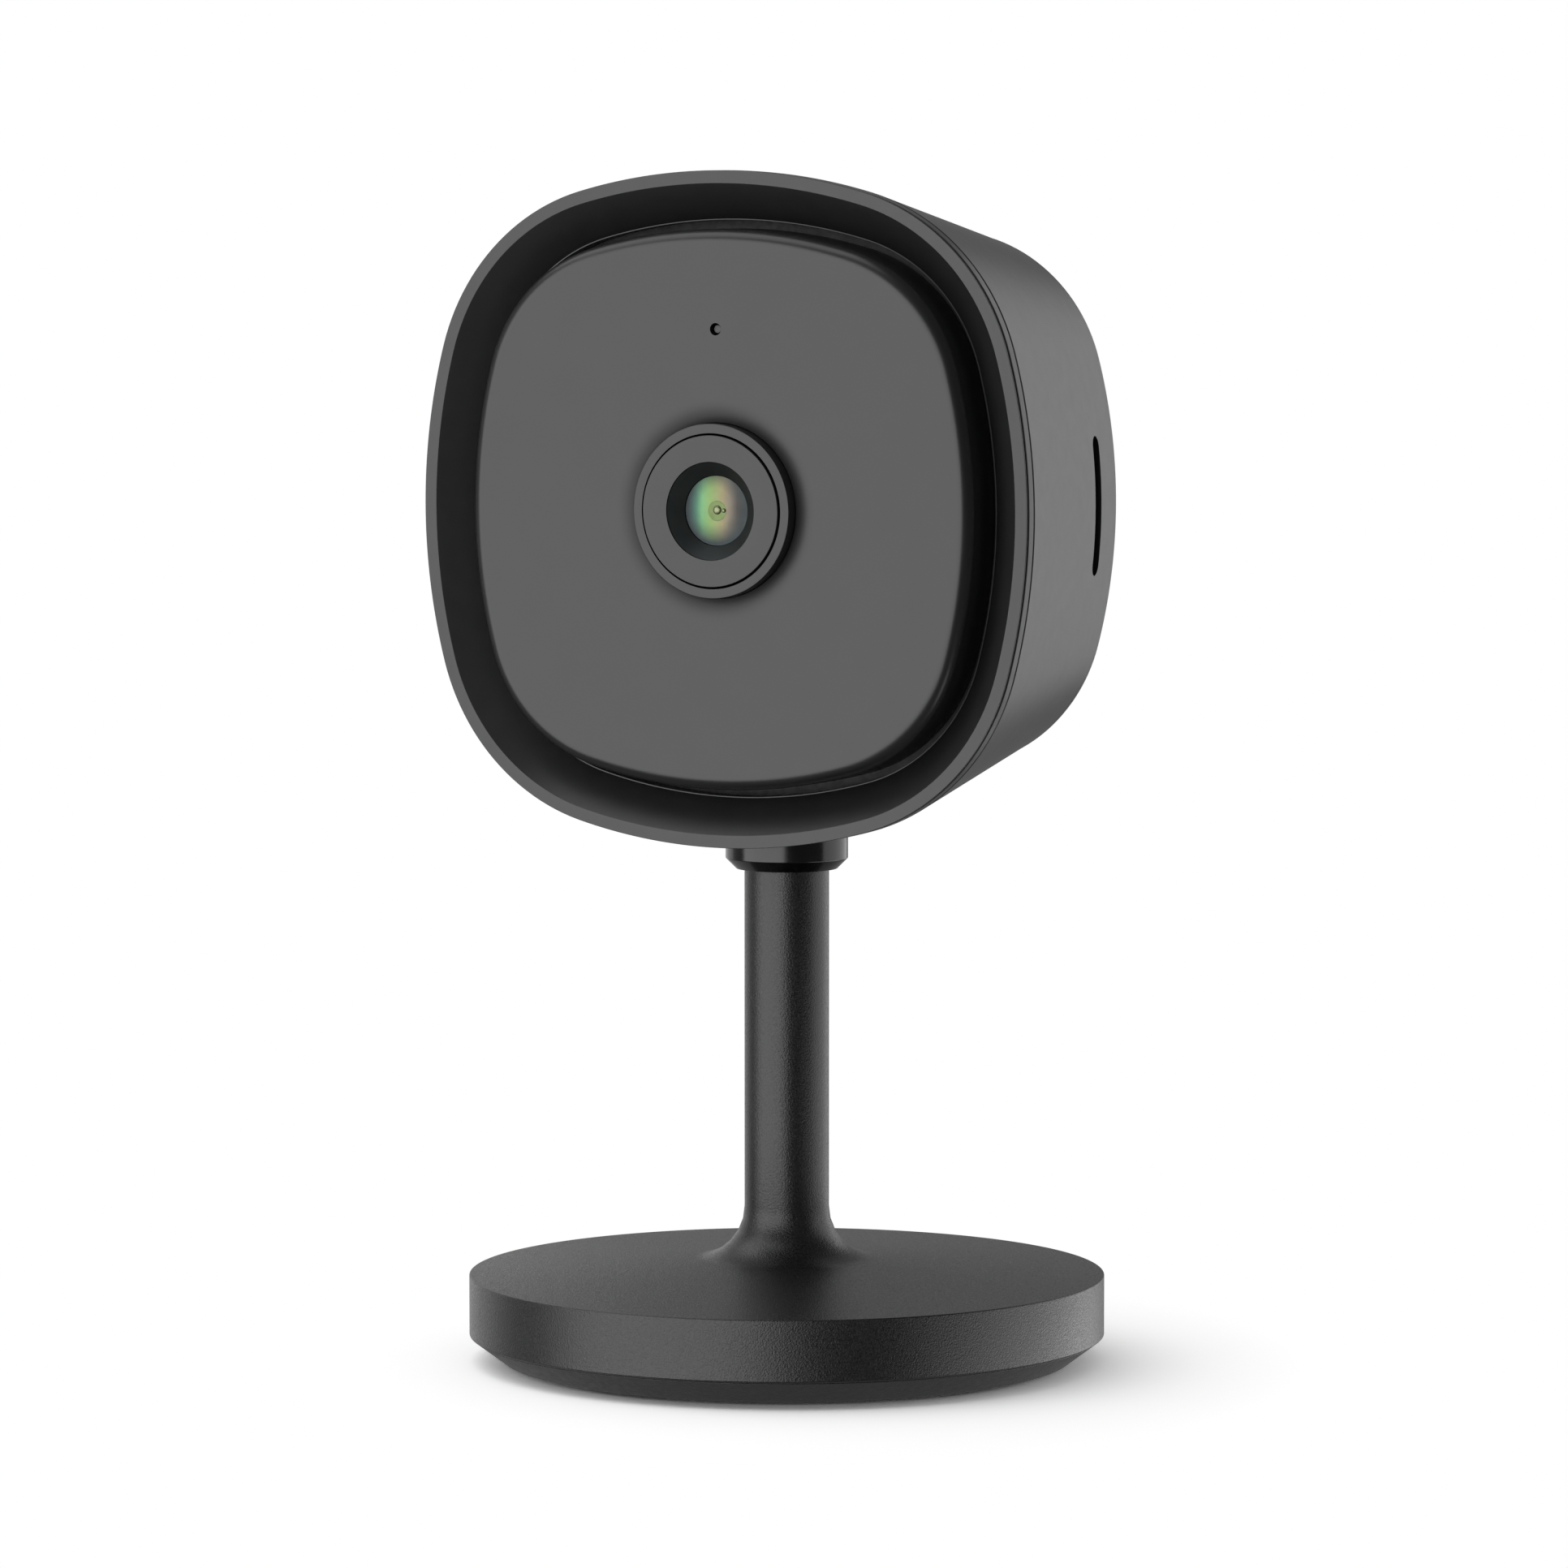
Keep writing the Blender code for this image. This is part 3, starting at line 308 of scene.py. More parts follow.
def loft(name, sections, closed, axis=Y_AXIS, centre=None, steps=STEPS):
    """Joins loops (out, level, shape), each an outline or a hoop: as a ring, or as a solid with end caps."""
    centre = Vector((0, 0, HEAD_Z)) if centre is None else Vector(centre)
    mesh = bmesh.new()
    rows = []
    turns = [2 * math.pi * step / steps for step in range(steps)]
    for out, level, shape in sections:
        row = [around(axis, centre, shape(out, turn), turn, level) for turn in turns]
        rows.append([mesh.verts.new(point) for point in row])
    pairs = list(zip(rows, rows[1:]))
    if closed:
        pairs.append((rows[-1], rows[0]))
    else:
        mesh.faces.new(rows[0])
        mesh.faces.new(rows[-1])
    for low, high in pairs:
        for k in range(steps):
            after = (k + 1) % steps
            mesh.faces.new((low[k], low[after], high[after], high[k]))
    return piece_from(name, mesh)


def turned(name, corners, closed, axis=Z_AXIS, centre=(0, 0, 0), steps=STEPS):
    """A turned piece: each corner is (radius, level, rounding)."""
    profile = [(out, level, radius, hoop) for out, level, radius in corners]
    return loft(name, rounded(profile, closed), closed, axis, centre, steps)


def tool_from_outline(name, edge, levels, axis):
    """A cutter: the closed edge of (across, up) points drawn at each (level, growth) along the axis."""
    side = Y_AXIS if axis.x else X_AXIS
    up = Y_AXIS if axis.z else Z_AXIS
    mesh = bmesh.new()
    middle = Vector((sum(p[0] for p in edge), sum(p[1] for p in edge))) / len(edge)
    rows = []
    for level, growth in levels:
        row = []
        for across, high in edge:
            out = Vector((across, high)) - middle
            spread = Vector((across, high)) + out.normalized() * growth
            row.append(mesh.verts.new(side * spread.x + up * spread.y + axis * level))
        rows.append(row)
    mesh.faces.new(rows[0])
    mesh.faces.new(rows[-1])
    count = len(edge)
    for low, high in zip(rows, rows[1:]):
        for k in range(count):
            after = (k + 1) % count
            mesh.faces.new((low[k], low[after], high[after], high[k]))
    return piece_from(name, mesh)


def circle_outline(x, z, radius, steps=24):
    """A circle about a point."""
    turns = [2 * math.pi * step / steps for step in range(steps)]
    return [(x + radius * math.cos(turn), z + radius * math.sin(turn)) for turn in turns]


def pill_outline(x, half_width, low, high, steps=12):
    """A slot with round ends, from low to high."""
    points = []
    for centre, start in ((high - half_width, 0.0), (low + half_width, math.pi)):
        for step in range(steps + 1):
            turn = start + math.pi * step / steps
            points.append((x + half_width * math.cos(turn), centre + half_width * math.sin(turn)))
    return points


def box_outline(low, high, radius, steps=6):
    """A rectangle with round corners between two (across, up) corners."""
    points = []
    corners = ((high[0], high[1], 0), (low[0], high[1], 1), (low[0], low[1], 2), (high[0], low[1], 3))
    for x, z, quarter in corners:
        centre_x = x - math.copysign(radius, x - (low[0] + high[0]) / 2)
        centre_z = z - math.copysign(radius, z - (low[1] + high[1]) / 2)
        for step in range(steps + 1):
            turn = math.pi / 2 * (quarter + step / steps)
            points.append((centre_x + radius * math.cos(turn), centre_z + radius * math.sin(turn)))
    return points


def carve(obj, tools):
    """Cuts each tool out of the object for good, and removes the tools."""
    for tool in tools:
        modifier = obj.modifiers.new(tool.name, "BOOLEAN")
        modifier.operation = "DIFFERENCE"
        modifier.object = tool
    graph = bpy.context.evaluated_depsgraph_get()
    cut = bpy.data.meshes.new_from_object(obj.evaluated_get(graph))
    obj.modifiers.clear()
    obj.data = cut
    cut.shade_smooth()
    cut.set_sharp_from_angle(angle=math.radians(SHARP_DEGREES))
    for tool in tools:
        bpy.data.objects.remove(tool, do_unlink=True)
    return obj


# Finishes


def map_range(tree, value, before, after):
    """Maps a value from one range to another."""
    made = tree.nodes.new("ShaderNodeMapRange")
    for key, number in zip(("From Min", "From Max", "To Min", "To Max"), (*before, *after)):
        made.inputs[key].default_value = number
    tree.links.new(value, made.inputs["Value"])
    return made.outputs["Result"]


def vector_math(tree, operation, vector, other=None):
    """One step of vector arithmetic, with a constant where it takes one."""
    made = tree.nodes.new("ShaderNodeVectorMath")
    made.operation = operation
    tree.links.new(vector, made.inputs[0])
    if other is not None:
        made.inputs[1].default_value = other
    return made.outputs["Value" if operation in ("LENGTH", "DOT_PRODUCT") else "Vector"]


def number_math(tree, operation, *values):
    """One step of arithmetic on sockets and constants."""
    made = tree.nodes.new("ShaderNodeMath")
    made.operation = operation
    for socket, value in zip(made.inputs, values):
        if isinstance(value, float):
            socket.default_value = value
        else:
            tree.links.new(value, socket)
    return made.outputs[0]


def mix_shaders(tree, factor, *shaders):
    """Mixes two shaders by a factor."""
    made = tree.nodes.new("ShaderNodeMixShader")
    for socket, source in zip(made.inputs, (factor, *shaders)):
        tree.links.new(source, socket)
    return made.outputs[0]


class Finish:
    """A Principled material and the nodes that vary it over the piece's own space."""

    def __init__(self, name, colour, roughness, metallic=0.0, specular=0.5, ior=1.5, transmission=0.0):
        self.material = bpy.data.materials.new(name)
        self.material.use_nodes = True
        self.tree = self.material.node_tree
        self.shader = self.tree.nodes["Principled BSDF"]
        self.shader.inputs["Base Color"].default_value = (*colour, 1.0)
        self.shader.inputs["Roughness"].default_value = roughness
        self.shader.inputs["Metallic"].default_value = metallic
        self.shader.inputs["Specular IOR Level"].default_value = specular
        self.shader.inputs["IOR"].default_value = ior
        self.shader.inputs["Transmission Weight"].default_value = transmission
        self.place = self.node("ShaderNodeTexCoord").outputs["Object"]
        self.colour = colour
        self.roughness = roughness

    def node(self, kind, **values):
        """Adds a node and sets its properties and sockets by their names."""
        made = self.tree.nodes.new(kind)
        for key, value in values.items():
            if hasattr(made, key):
                setattr(made, key, value)
            else:
                made.inputs[key].default_value = value
        return made

    def link(self, source, target):
        self.tree.links.new(source, target)

    def noise(self, size, detail=2.0, stretch=None):
        """Noise whose grains are about this size in metres."""
        made = self.node("ShaderNodeTexNoise", Scale=1 / size, Detail=detail)
        place = self.place
        if stretch:
            mapping = self.node("ShaderNodeMapping", Scale=stretch)
            self.link(place, mapping.inputs["Vector"])
            place = mapping.outputs["Vector"]
        self.link(place, made.inputs["Vector"])
        return made.outputs["Fac"]

    def reach(self, centre):
        """The distance of each point from the line through the centre along Y."""
        shift = vector_math(self.tree, "SUBTRACT", self.place, centre)
        return vector_math(self.tree, "LENGTH", vector_math(self.tree, "MULTIPLY", shift, (1, 0, 1)))

    def spread(self, value, low, high, from_low=0.3, from_high=0.7):
        """Spreads a noise's usual range, or another one, from low to high."""
        return map_range(self.tree, value, (from_low, from_high), (low, high))

    def vary_roughness(self, size, amount, stretch=None):
        """Makes the surface rougher and smoother by the amount, in blotches of the size."""
        value = self.noise(size, stretch=stretch)
        self.link(self.spread(value, self.roughness - amount, self.roughness + amount),
                  self.shader.inputs["Roughness"])
        return self

    def vary_colour(self, size, amount):
        """Lightens and darkens the colour by the amount, in blotches of the size."""
        value = self.spread(self.noise(size), 0.0, 1.0)
        mix = self.node("ShaderNodeMix", data_type="RGBA")
        dark, light = mix.inputs[6], mix.inputs[7]
        dark.default_value = (*(part * (1 - amount) for part in self.colour), 1)
        light.default_value = (*(part * (1 + amount) for part in self.colour), 1)
        self.link(value, mix.inputs[0])
        self.link(mix.outputs[2], self.shader.inputs["Base Color"])
        return self

    def grain(self, size, height, detail=2.0, stretch=None):
        """A fine bump of grains of the size, up to the height in metres."""
        bump = self.node("ShaderNodeBump", Strength=1.0, Distance=height)
        self.link(self.noise(size, detail, stretch), bump.inputs["Height"])
        self.link(bump.outputs["Normal"], self.shader.inputs["Normal"])
        return self


def finishes():
    """Every material of the table, and the panel's and the lens's own."""
    look = {}
    for name, values in FINISHES.items():
        shader = {key: value for key, value in values.items() if key not in VARYING}
        finish = look[name] = Finish(name, **shader)
        stretch = values.get("stretch")
        if "rough" in values:
            size, amount = values["rough"]
            finish.vary_roughness(size * MM, amount, stretch)
        if "tint" in values:
            size, amount = values["tint"]
            finish.vary_colour(size * MM, amount)
        if "grain" in values:
            size, height, *detail = values["grain"]
            finish.grain(size * MM, height * MM, *detail, stretch=stretch)
    look["lens_coating_painted_reflection"] = lens_coating_painted_reflection()
    look["panel_front"] = panel_front()
    return look


def panel_front():
    """The panel's plastic, turning matt in the dip round the lens ring."""
    front = Finish("panel_front", (0.014, 0.014, 0.0146), 0.33).vary_colour(6 * MM, 0.05)
    front.grain(0.07 * MM, 0.0008 * MM)
    matt_width, most_matt, curve = 2.2 * MM, 0.5, 1.3
    matt = front.spread(front.reach((0, 0, HEAD_Z)), most_matt, 0.0, RING_R, RING_R + matt_width)
    plain = front.spread(front.noise(2.5 * MM), 0.32, 0.34)
    rough = number_math(front.tree, "ADD", plain, number_math(front.tree, "POWER", matt, curve))
    front.link(rough, front.shader.inputs["Roughness"])
    return front


def lens_coating_painted_reflection():
    """The coated glass with painted reflection colours: teal, green and rose across its width, fading to
    slate at its edge.
    """
    coat = Finish("lens_coating_painted_reflection", (0.1, 0.3, 0.15), 0.46, metallic=1.0)
    half = (GLASS_HIGH.x - GLASS_LOW.x) / 2
    split = coat.node("ShaderNodeSeparateXYZ")
    coat.link(coat.place, split.inputs[0])
    ramp = coat.node("ShaderNodeValToRGB")
    for k, (place, colour) in enumerate(PAINTED_REFLECTION_STOPS):
        stop = ramp.color_ramp.elements[k] if k < 2 else ramp.color_ramp.elements.new(place)
        stop.position = place
        stop.color = (*colour, 1)
    coat.link(coat.spread(split.outputs["X"], 0.0, 1.0, -half, half), ramp.inputs[0])

    mix = coat.node("ShaderNodeMix", data_type="RGBA")
    coat.link(coat.spread(coat.reach((0, 0, HEAD_Z + PAINTED_REFLECTION_RISE)), 0.0, 1.0, *PAINTED_REFLECTION_FADE), mix.inputs[0])
    coat.link(ramp.outputs[0], mix.inputs[6])
    mix.inputs[7].default_value = (*PAINTED_REFLECTION_SLATE, 1)
    coat.link(mix.outputs[2], coat.shader.inputs["Base Color"])
    return coat.vary_roughness(0.8 * MM, 0.03)


def wear(obj, look, body, slot_name, *nodes):
    """Gives the piece its material and its body, and hides the CAD nodes that it stands for. The slot name
    is not used.
    """
    obj.data.materials.clear()
    obj.data.materials.append(look.material)
    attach(obj, body)
    if nodes:
        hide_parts(*nodes)
    return obj


# Stand


def make_stand(look):
    """The stem, fillet and base disc in one, the chamfered cover under it, and the ribbed foot pad."""
    hollow_r, hollow_z = BASE_R - 2.7 * MM, STAND_LOW.z + 4.5 * MM
    rim_z, crown_z, fillet_r, stem_r = 8.0 * MM, 9.7 * MM, 4.8 * MM, 3.84 * MM
    spigot_r, shoulder_z, tapped_r = 2.4 * MM, 47.0 * MM, 1.4 * MM
    corners = [
        (tapped_r, hollow_z + 8 * MM, 0),
        (tapped_r, hollow_z, 0),
        (hollow_r, hollow_z, 0),
        (hollow_r, STAND_LOW.z, 0.1 * MM),
        (BASE_R - 0.2 * MM, STAND_LOW.z, 0),
        (BASE_R, STAND_LOW.z + 0.15 * MM, 0.1 * MM),
        (BASE_R, rim_z, 0.12 * MM),
        (stem_r, crown_z, fillet_r),
        (stem_r, shoulder_z, 0.25 * MM),
        (spigot_r, shoulder_z, 0),
        (spigot_r, STAND_HIGH.z, 0.3 * MM),
        (tapped_r, STAND_HIGH.z, 0),
        (tapped_r, STAND_HIGH.z - 6 * MM, 0),
    ]
    stand = turned("stand_casting", corners, False)
    weighted(wear(stand, look["powder_coat"], "base", "powder_coat", "stand"))

    pocket_r, pocket_z = PAD_R + 0.3 * MM, PAD_HIGH.z + 0.3 * MM
    shelf_z, plug_r = STAND_LOW.z - 0.04 * MM, hollow_r - 0.3 * MM
    corners = [
        (pocket_r, pocket_z, 0),
        (pocket_r, COVER_LOW.z, 0.1 * MM),
        (PAD_R + 1.2 * MM, COVER_LOW.z, 0.35 * MM),
        (COVER_R + 0.34 * MM, shelf_z, 0.04 * MM),
        (plug_r, shelf_z, 0),
        (plug_r, COVER_HIGH.z, 0),
    ]
    cover = turned("foot_cover", corners, False)
    tools = []
    for k in range(1, 4):
        low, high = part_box(f"cover_screw_{k}")
        x, y = (low.x + high.x) / 2, (low.y + high.y) / 2
        for kind, radius, depth in (("seat", 2.0 * MM, pocket_z + 1.0 * MM), ("hole", 1.05 * MM, 6 * MM)):
            edge = circle_outline(x, y, radius)
            tools.append(tool_from_outline(f"{kind}_{k}", edge, [(0, 0), (depth, 0)], Z_AXIS))
    carve(cover, tools)
    weighted(wear(cover, look["matte_coat"], "base", "matte_black", "bottom_cover"))

    corners = [(PAD_R, PAD_HIGH.z, 0), (PAD_R, PAD_LOW.z, 0.2 * MM)]
    groove, land, depth, least_r = 0.8 * MM, 2.4 * MM, 0.3 * MM, 6 * MM
    out = PAD_R - land
    while out > least_r:
        corners += [
            (out, PAD_LOW.z, 0.1 * MM),
            (out - groove * 0.25, PAD_LOW.z + depth, 0.05 * MM),
            (out - groove * 0.75, PAD_LOW.z + depth, 0.05 * MM),
            (out - groove, PAD_LOW.z, 0.1 * MM),
        ]
        out -= groove + land
    corners.append((0.5 * MM, PAD_LOW.z, 0))
    pad = turned("rubber_foot", corners, False)
    weighted(wear(pad, look["rubber"], "base", "rubber", "foot_pad"))


def make_collar(look):
    """The glossy collar: a bevelled cup over the stem's top."""
    bore_r, shelf_r, shelf_z = 4.14 * MM, 2.7 * MM, 47.3 * MM
    foot_r = 4.6 * MM
    corners = [
        (bore_r, COLLAR_LOW.z, 0.05 * MM),
        (foot_r, COLLAR_LOW.z, 0.06 * MM),
        (COLLAR_R, COLLAR_LOW.z + COLLAR_R - foot_r, 0.16 * MM),
        (COLLAR_R, COLLAR_HIGH.z, 0.15 * MM),
        (shelf_r, COLLAR_HIGH.z, 0),
        (shelf_r, shelf_z, 0),
        (bore_r, shelf_z, 0),
    ]
    collar = turned("neck_collar", corners, True)
    weighted(wear(collar, look["gloss_black"], "neck", "gloss_black", "swivel_collar"))


# Head


def make_bezel(look):
    """The flat rim, the dark funnel and its fine lip, and the thin band behind the rim."""
    inner, seat = HEAD_HALF - 0.9 * MM, HEAD_HALF - 2.4 * MM
    groove_y, shoulder_y, lip_y = RIM_Y + 0.12 * MM, HOUSING_LOW.y - 0.2 * MM, RIM_Y + 2.9 * MM
    mouth, lip, lip_width = HEAD_HALF - 1.14 * MM, HEAD_HALF - 4.42 * MM, 0.12 * MM
    corners = [
        (mouth, RIM_Y, 0.1 * MM, outline),
        (HEAD_HALF, RIM_Y, 0.05 * MM, outline),
        (HEAD_HALF, groove_y, 0.03 * MM, outline),
        (inner, groove_y, 0, outline),
        (inner, shoulder_y, 0, outline),
        (HEAD_HALF - 1.9 * MM, shoulder_y, 0, outline),
        (seat, BEZEL_HIGH.y, 0, outline),
        (lip, BEZEL_HIGH.y, 0, outline),
        (lip, lip_y, 0.04 * MM, outline),
        (lip + lip_width, lip_y, 0.04 * MM, outline),
    ]
    bezel = loft("hood_bezel", rounded(corners, True), True)
    weighted(wear(bezel, look["satin_plastic"], "head", "satin_plastic", "front_bezel"))

    band_inner = inner + 0.3 * MM
    corners = [
        (band_inner, BAND_LOW.y, 0, outline),
        (HEAD_HALF, BAND_LOW.y, 0.05 * MM, outline),
        (HEAD_HALF, BAND_HIGH.y, 0.05 * MM, outline),
        (band_inner, BAND_HIGH.y, 0, outline),
    ]
    band = loft("rim_band", rounded(corners, True), True)
    weighted(wear(band, look["satin_plastic"], "head", "satin_plastic", "trim_band"))


def make_panel(look):
    """The raised panel: a soft outer edge, and a shallow dip down to the lens ring."""
    hole_r = RING_R + 0.06 * MM
    dip_width, dip_depth, dip_steps = 2.1 * MM, 0.38 * MM, 16
    inside_y = PANEL_LOW.y + 1.4 * MM
    half, wall = PANEL_HALF + 0.35 * MM, PANEL_HALF - 1.4 * MM
    corners = [
        (half, PANEL_HIGH.y, 0, outline),
        (half, PANEL_LOW.y, PANEL_EDGE_R, outline),
    ]
    for step in range(dip_steps + 1):
        part = step / dip_steps
        corners.append((hole_r + dip_width * (1 - part), PANEL_LOW.y + dip_depth * part**2, 0, hoop))
    corners += [
        (hole_r, inside_y, 0, hoop),
        (wall - 0.8 * MM, inside_y, 0, outline),
        (wall, inside_y + 0.8 * MM, 0, outline),
        (wall, PANEL_HIGH.y, 0, outline),
    ]
    panel = loft("raised_panel", rounded(corners, True, steps=14), True)
    z = (PIPE_LOW.z + PIPE_HIGH.z) / 2
    levels = [(PANEL_LOW.y - 0.2 * MM, 0), (inside_y + 0.2 * MM, 0)]
    carve(panel, [tool_from_outline("pinhole", circle_outline(0, z, 0.55 * MM, 40), levels, Y_AXIS)])
    weighted(wear(panel, look["panel_front"], "head", "panel_plastic", "front_panel"))


def make_housing(look):
    """The tapering rear shell, with its slot, port, grille, button hole, microphone hole and neck slot."""
    wall, edge_r, edge_steps, rings = 1.6 * MM, 1.6 * MM, 8, 26
    front_y, edge_y = HOUSING_LOW.y, BACK_Y - edge_r

    def side(part, inset):
        """The shell's loop at a part of the way from front to back."""
        half = HEAD_HALF + (BACK_HALF - HEAD_HALF) * part - inset
        return half, front_y + (edge_y - front_y) * part, outline

    sections = [side(1 - k / rings, wall) for k in range(rings + 1)]
    sections.append((HEAD_HALF - 0.06 * MM, front_y, outline))
    sections += [side(max(k / rings, 0.003), 0) for k in range(rings + 1)]
    for step in range(1, edge_steps + 1):
        turn = math.pi / 2 * step / edge_steps
        half = BACK_HALF - edge_r * (1 - math.cos(turn))
        sections.append((half, edge_y + edge_r * math.sin(turn), outline))
    housing = loft("rear_shell", sections, False)

    chamfer, overshoot = 0.15 * MM, 1 * MM
    port_x, port_z = (PORT_HIGH.x - PORT_LOW.x) / 2 + PORT_MARGIN_X, (PORT_LOW.z + PORT_HIGH.z) / 2
    port_half_z = (PORT_HIGH.z - PORT_LOW.z) / 2 + PORT_MARGIN_Z
    mouth = box_outline((-port_x, port_z - port_half_z), (port_x, port_z + port_half_z), PORT_CORNER_R)
    button_x = (BUTTON_LOW.x + BUTTON_HIGH.x) / 2
    holes = [("port", mouth), ("button", circle_outline(button_x, port_z, BUTTON_HOLE_R, 36))]
    speaker_z = (SPEAKER_LOW.z + SPEAKER_HIGH.z) / 2
    for ring in range(GRILLE_RINGS):
        count = max(1, 6 * ring)
        for k in range(count):
            turn, reach = 2 * math.pi * k / count, GRILLE_PITCH * ring
            place = (reach * math.cos(turn), speaker_z + reach * math.sin(turn))
            holes.append((f"grille_{ring}_{k}", circle_outline(*place, GRILLE_HOLE_R, 20)))
    levels = [(edge_y - wall - overshoot, 0), (BACK_Y - chamfer, 0), (BACK_Y + chamfer, 2 * chamfer)]
    tools = [tool_from_outline(name, edge, levels, Y_AXIS) for name, edge in holes]

    card_y = (SOCKET_LOW.y + SOCKET_HIGH.y) / 2 + CARD_SLOT_SHIFT
    slot_low, slot_high = HEAD_Z - CARD_SLOT_HALF_LENGTH, HEAD_Z + CARD_SLOT_HALF_LENGTH
    slot = pill_outline(card_y, CARD_SLOT_HALF, slot_low, slot_high)
    levels = [
        (CARD_SLOT_IN_X, CARD_SLOT_UNDERCUT),
        (CARD_SLOT_SKIN_X - CARD_SLOT_UNDERCUT, CARD_SLOT_UNDERCUT),
        (CARD_SLOT_SKIN_X, 0),
        (CARD_SLOT_OUT_X, 0),
    ]
    tools.append(tool_from_outline("card_slot", slot, levels, X_AXIS))
    neck = pill_outline(0, NECK_SLOT_HALF, NECK_SLOT_FRONT, NECK_SLOT_BACK, 24)
    levels = [(NECK_SLOT_LOW_Z, 0), (NECK_SLOT_HIGH_Z, 0)]
    tools.append(tool_from_outline("neck_slot", neck, levels, Z_AXIS))
    x, y = (MICROPHONE_LOW.x + MICROPHONE_HIGH.x) / 2, (MICROPHONE_LOW.y + MICROPHONE_HIGH.y) / 2
    levels = [(SOUND_HOLE_LOW_Z, 0), (SOUND_HOLE_HIGH_Z, 0)]
    tools.append(tool_from_outline("sound", circle_outline(x, y, SOUND_HOLE_R), levels, Z_AXIS))
    carve(housing, tools)
    weighted(wear(housing, look["shell_plastic"], "head", "satin_plastic", "rear_housing"))


def make_lens(look):
    """The outer ring, the flat face ring, the black cone, and the coated glass at its bottom with painted
    reflection colours, with an iris disc and two painted highlights on it.
    """
    groove_r = FACE_R + 0.16 * MM
    ring_y = RING_LOW.y + 0.16 * MM
    corners = [
        (groove_r, RING_HIGH.y, 0),
        (groove_r, ring_y, 0.04 * MM),
        (RING_R, ring_y, 0.08 * MM),
        (RING_R, RING_HIGH.y, 0),
    ]
    head = (0, 0, HEAD_Z)
    ring = turned("lens_outer_ring", corners, True, Y_AXIS, head)
    weighted(wear(ring, look["panel_plastic"], "head", "satin_plastic", "lens_ring"))

    mouth_r = 4.36 * MM
    corners = [
        (mouth_r, FACE_HIGH.y, 0),
        (mouth_r, FACE_LOW.y, 0.05 * MM),
        (FACE_R, FACE_LOW.y, 0.06 * MM),
        (FACE_R, FACE_HIGH.y, 0),
    ]
    face = turned("lens_face_ring", corners, True, Y_AXIS, head)
    weighted(wear(face, look["panel_plastic"], "head", "panel_plastic", "lens_face"))

    baffle_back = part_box("lens_baffle")[1].y
    cone_r, cone_y = 3.14 * MM, FACE_LOW.y + 1.2 * MM
    neck_r, flange_r, flange_y = mouth_r - 0.02 * MM, mouth_r + 0.9 * MM, FACE_HIGH.y + 0.05 * MM
    corners = [
        (neck_r, FACE_LOW.y + 0.12 * MM, 0),
        (neck_r, flange_y, 0),
        (flange_r, flange_y, 0),
        (flange_r, baffle_back, 0),
        (cone_r, baffle_back, 0),
        (cone_r, cone_y, 0.03 * MM),
    ]
    cone = turned("lens_cone", corners, True, Y_AXIS, head)
    weighted(wear(cone, look["cone_black"], "head", "gloss_black", "lens_baffle"))

    glass_r, edge_y, dome_rise, thickness = cone_r - 0.04 * MM, cone_y + 0.1 * MM, 0.22 * MM, 1.1 * MM
    dome_steps, spot_steps = 25, 16
    sections = [(glass_r, edge_y + thickness, hoop)]
    for step in range(dome_steps):
        part = math.cos(math.pi / 2 * step / dome_steps)
        sections.append((glass_r * part, edge_y - dome_rise * (1 - part**2), hoop))
    dome = loft("lens_glass", sections, False, Y_AXIS, head)
    wear(dome, look["lens_coating_painted_reflection"], "head", "coated_glass", "front_element")

    top_y = edge_y - dome_rise
    # An iris disc, and two small metallic domes that are painted highlights for the glints in the inner
    # elements.
    spots = (
        ("lens_iris", 0.14 * MM, 0.0, 0.92 * MM, 0.06 * MM, top_y + 0.03 * MM, look["lens_iris"]),
        ("iris_glint", 0.2 * MM, 0.08 * MM, 0.4 * MM, 0.22 * MM, top_y - 0.02 * MM, look["lens_glint"]),
        ("side_glint", 0.84 * MM, 0.04 * MM, 0.2 * MM, 0.16 * MM, top_y, look["lens_glint"]),
    )
    for name, x, z, radius, rise, level, finish in spots:
        sections = []
        for step in range(spot_steps):
            turn = math.pi / 2 * step / spot_steps
            sections.append((radius * math.cos(turn), level - rise * math.sin(turn), hoop))
        spot = loft(name, sections, False, Y_AXIS, (x, 0, HEAD_Z + z), 72)
        wear(spot, finish, "head", "coated_glass")


def make_pipe(look):
    """The status lamp's light pipe, a small disc at the bottom of the panel's pinhole."""
    z = (PIPE_LOW.z + PIPE_HIGH.z) / 2
    radius, tip_y, flange_y = 0.36 * MM, PIPE_LOW.y - 0.2 * MM, PIPE_HIGH.y - 0.3 * MM
    corners = [
        (0.05 * MM, tip_y, 0),
        (radius, tip_y, 0.04 * MM),
        (radius, flange_y, 0),
        (PIPE_HIGH.x, flange_y, 0),
        (PIPE_HIGH.x, PIPE_HIGH.y, 0),
    ]
    pipe = turned("status_light_pipe", corners, False, Y_AXIS, (0, 0, z), 48)
    wear(pipe, look["status_pipe"], "head", "panel_plastic", "light_pipe")


def dress_frame(look):
    """Gives each CAD node its slot's finish, but the card socket, which shows in its slot, a black one that
    paints the slot's shade.
    """
    slots = {entry["node"]: entry["material_slot"] for entry in frame["record"]["subparts"]}
    # Painted shade: the card socket turns black so that the card slot reads dark.
    slots["card_socket"] = "socket_painted_shade"
    for name, node in frame["nodes"].items():
        node.data.materials.clear()
        node.data.materials.append(look[slots[name]].material)


# Studio


def facing(azimuth, elevation=0.0):
    """The direction towards a place by its degrees of azimuth, from -Y towards +X, and of elevation."""
    a, e = math.radians(azimuth), math.radians(elevation)
    return Vector((math.sin(a) * math.cos(e), -math.cos(a) * math.cos(e), math.sin(e)))


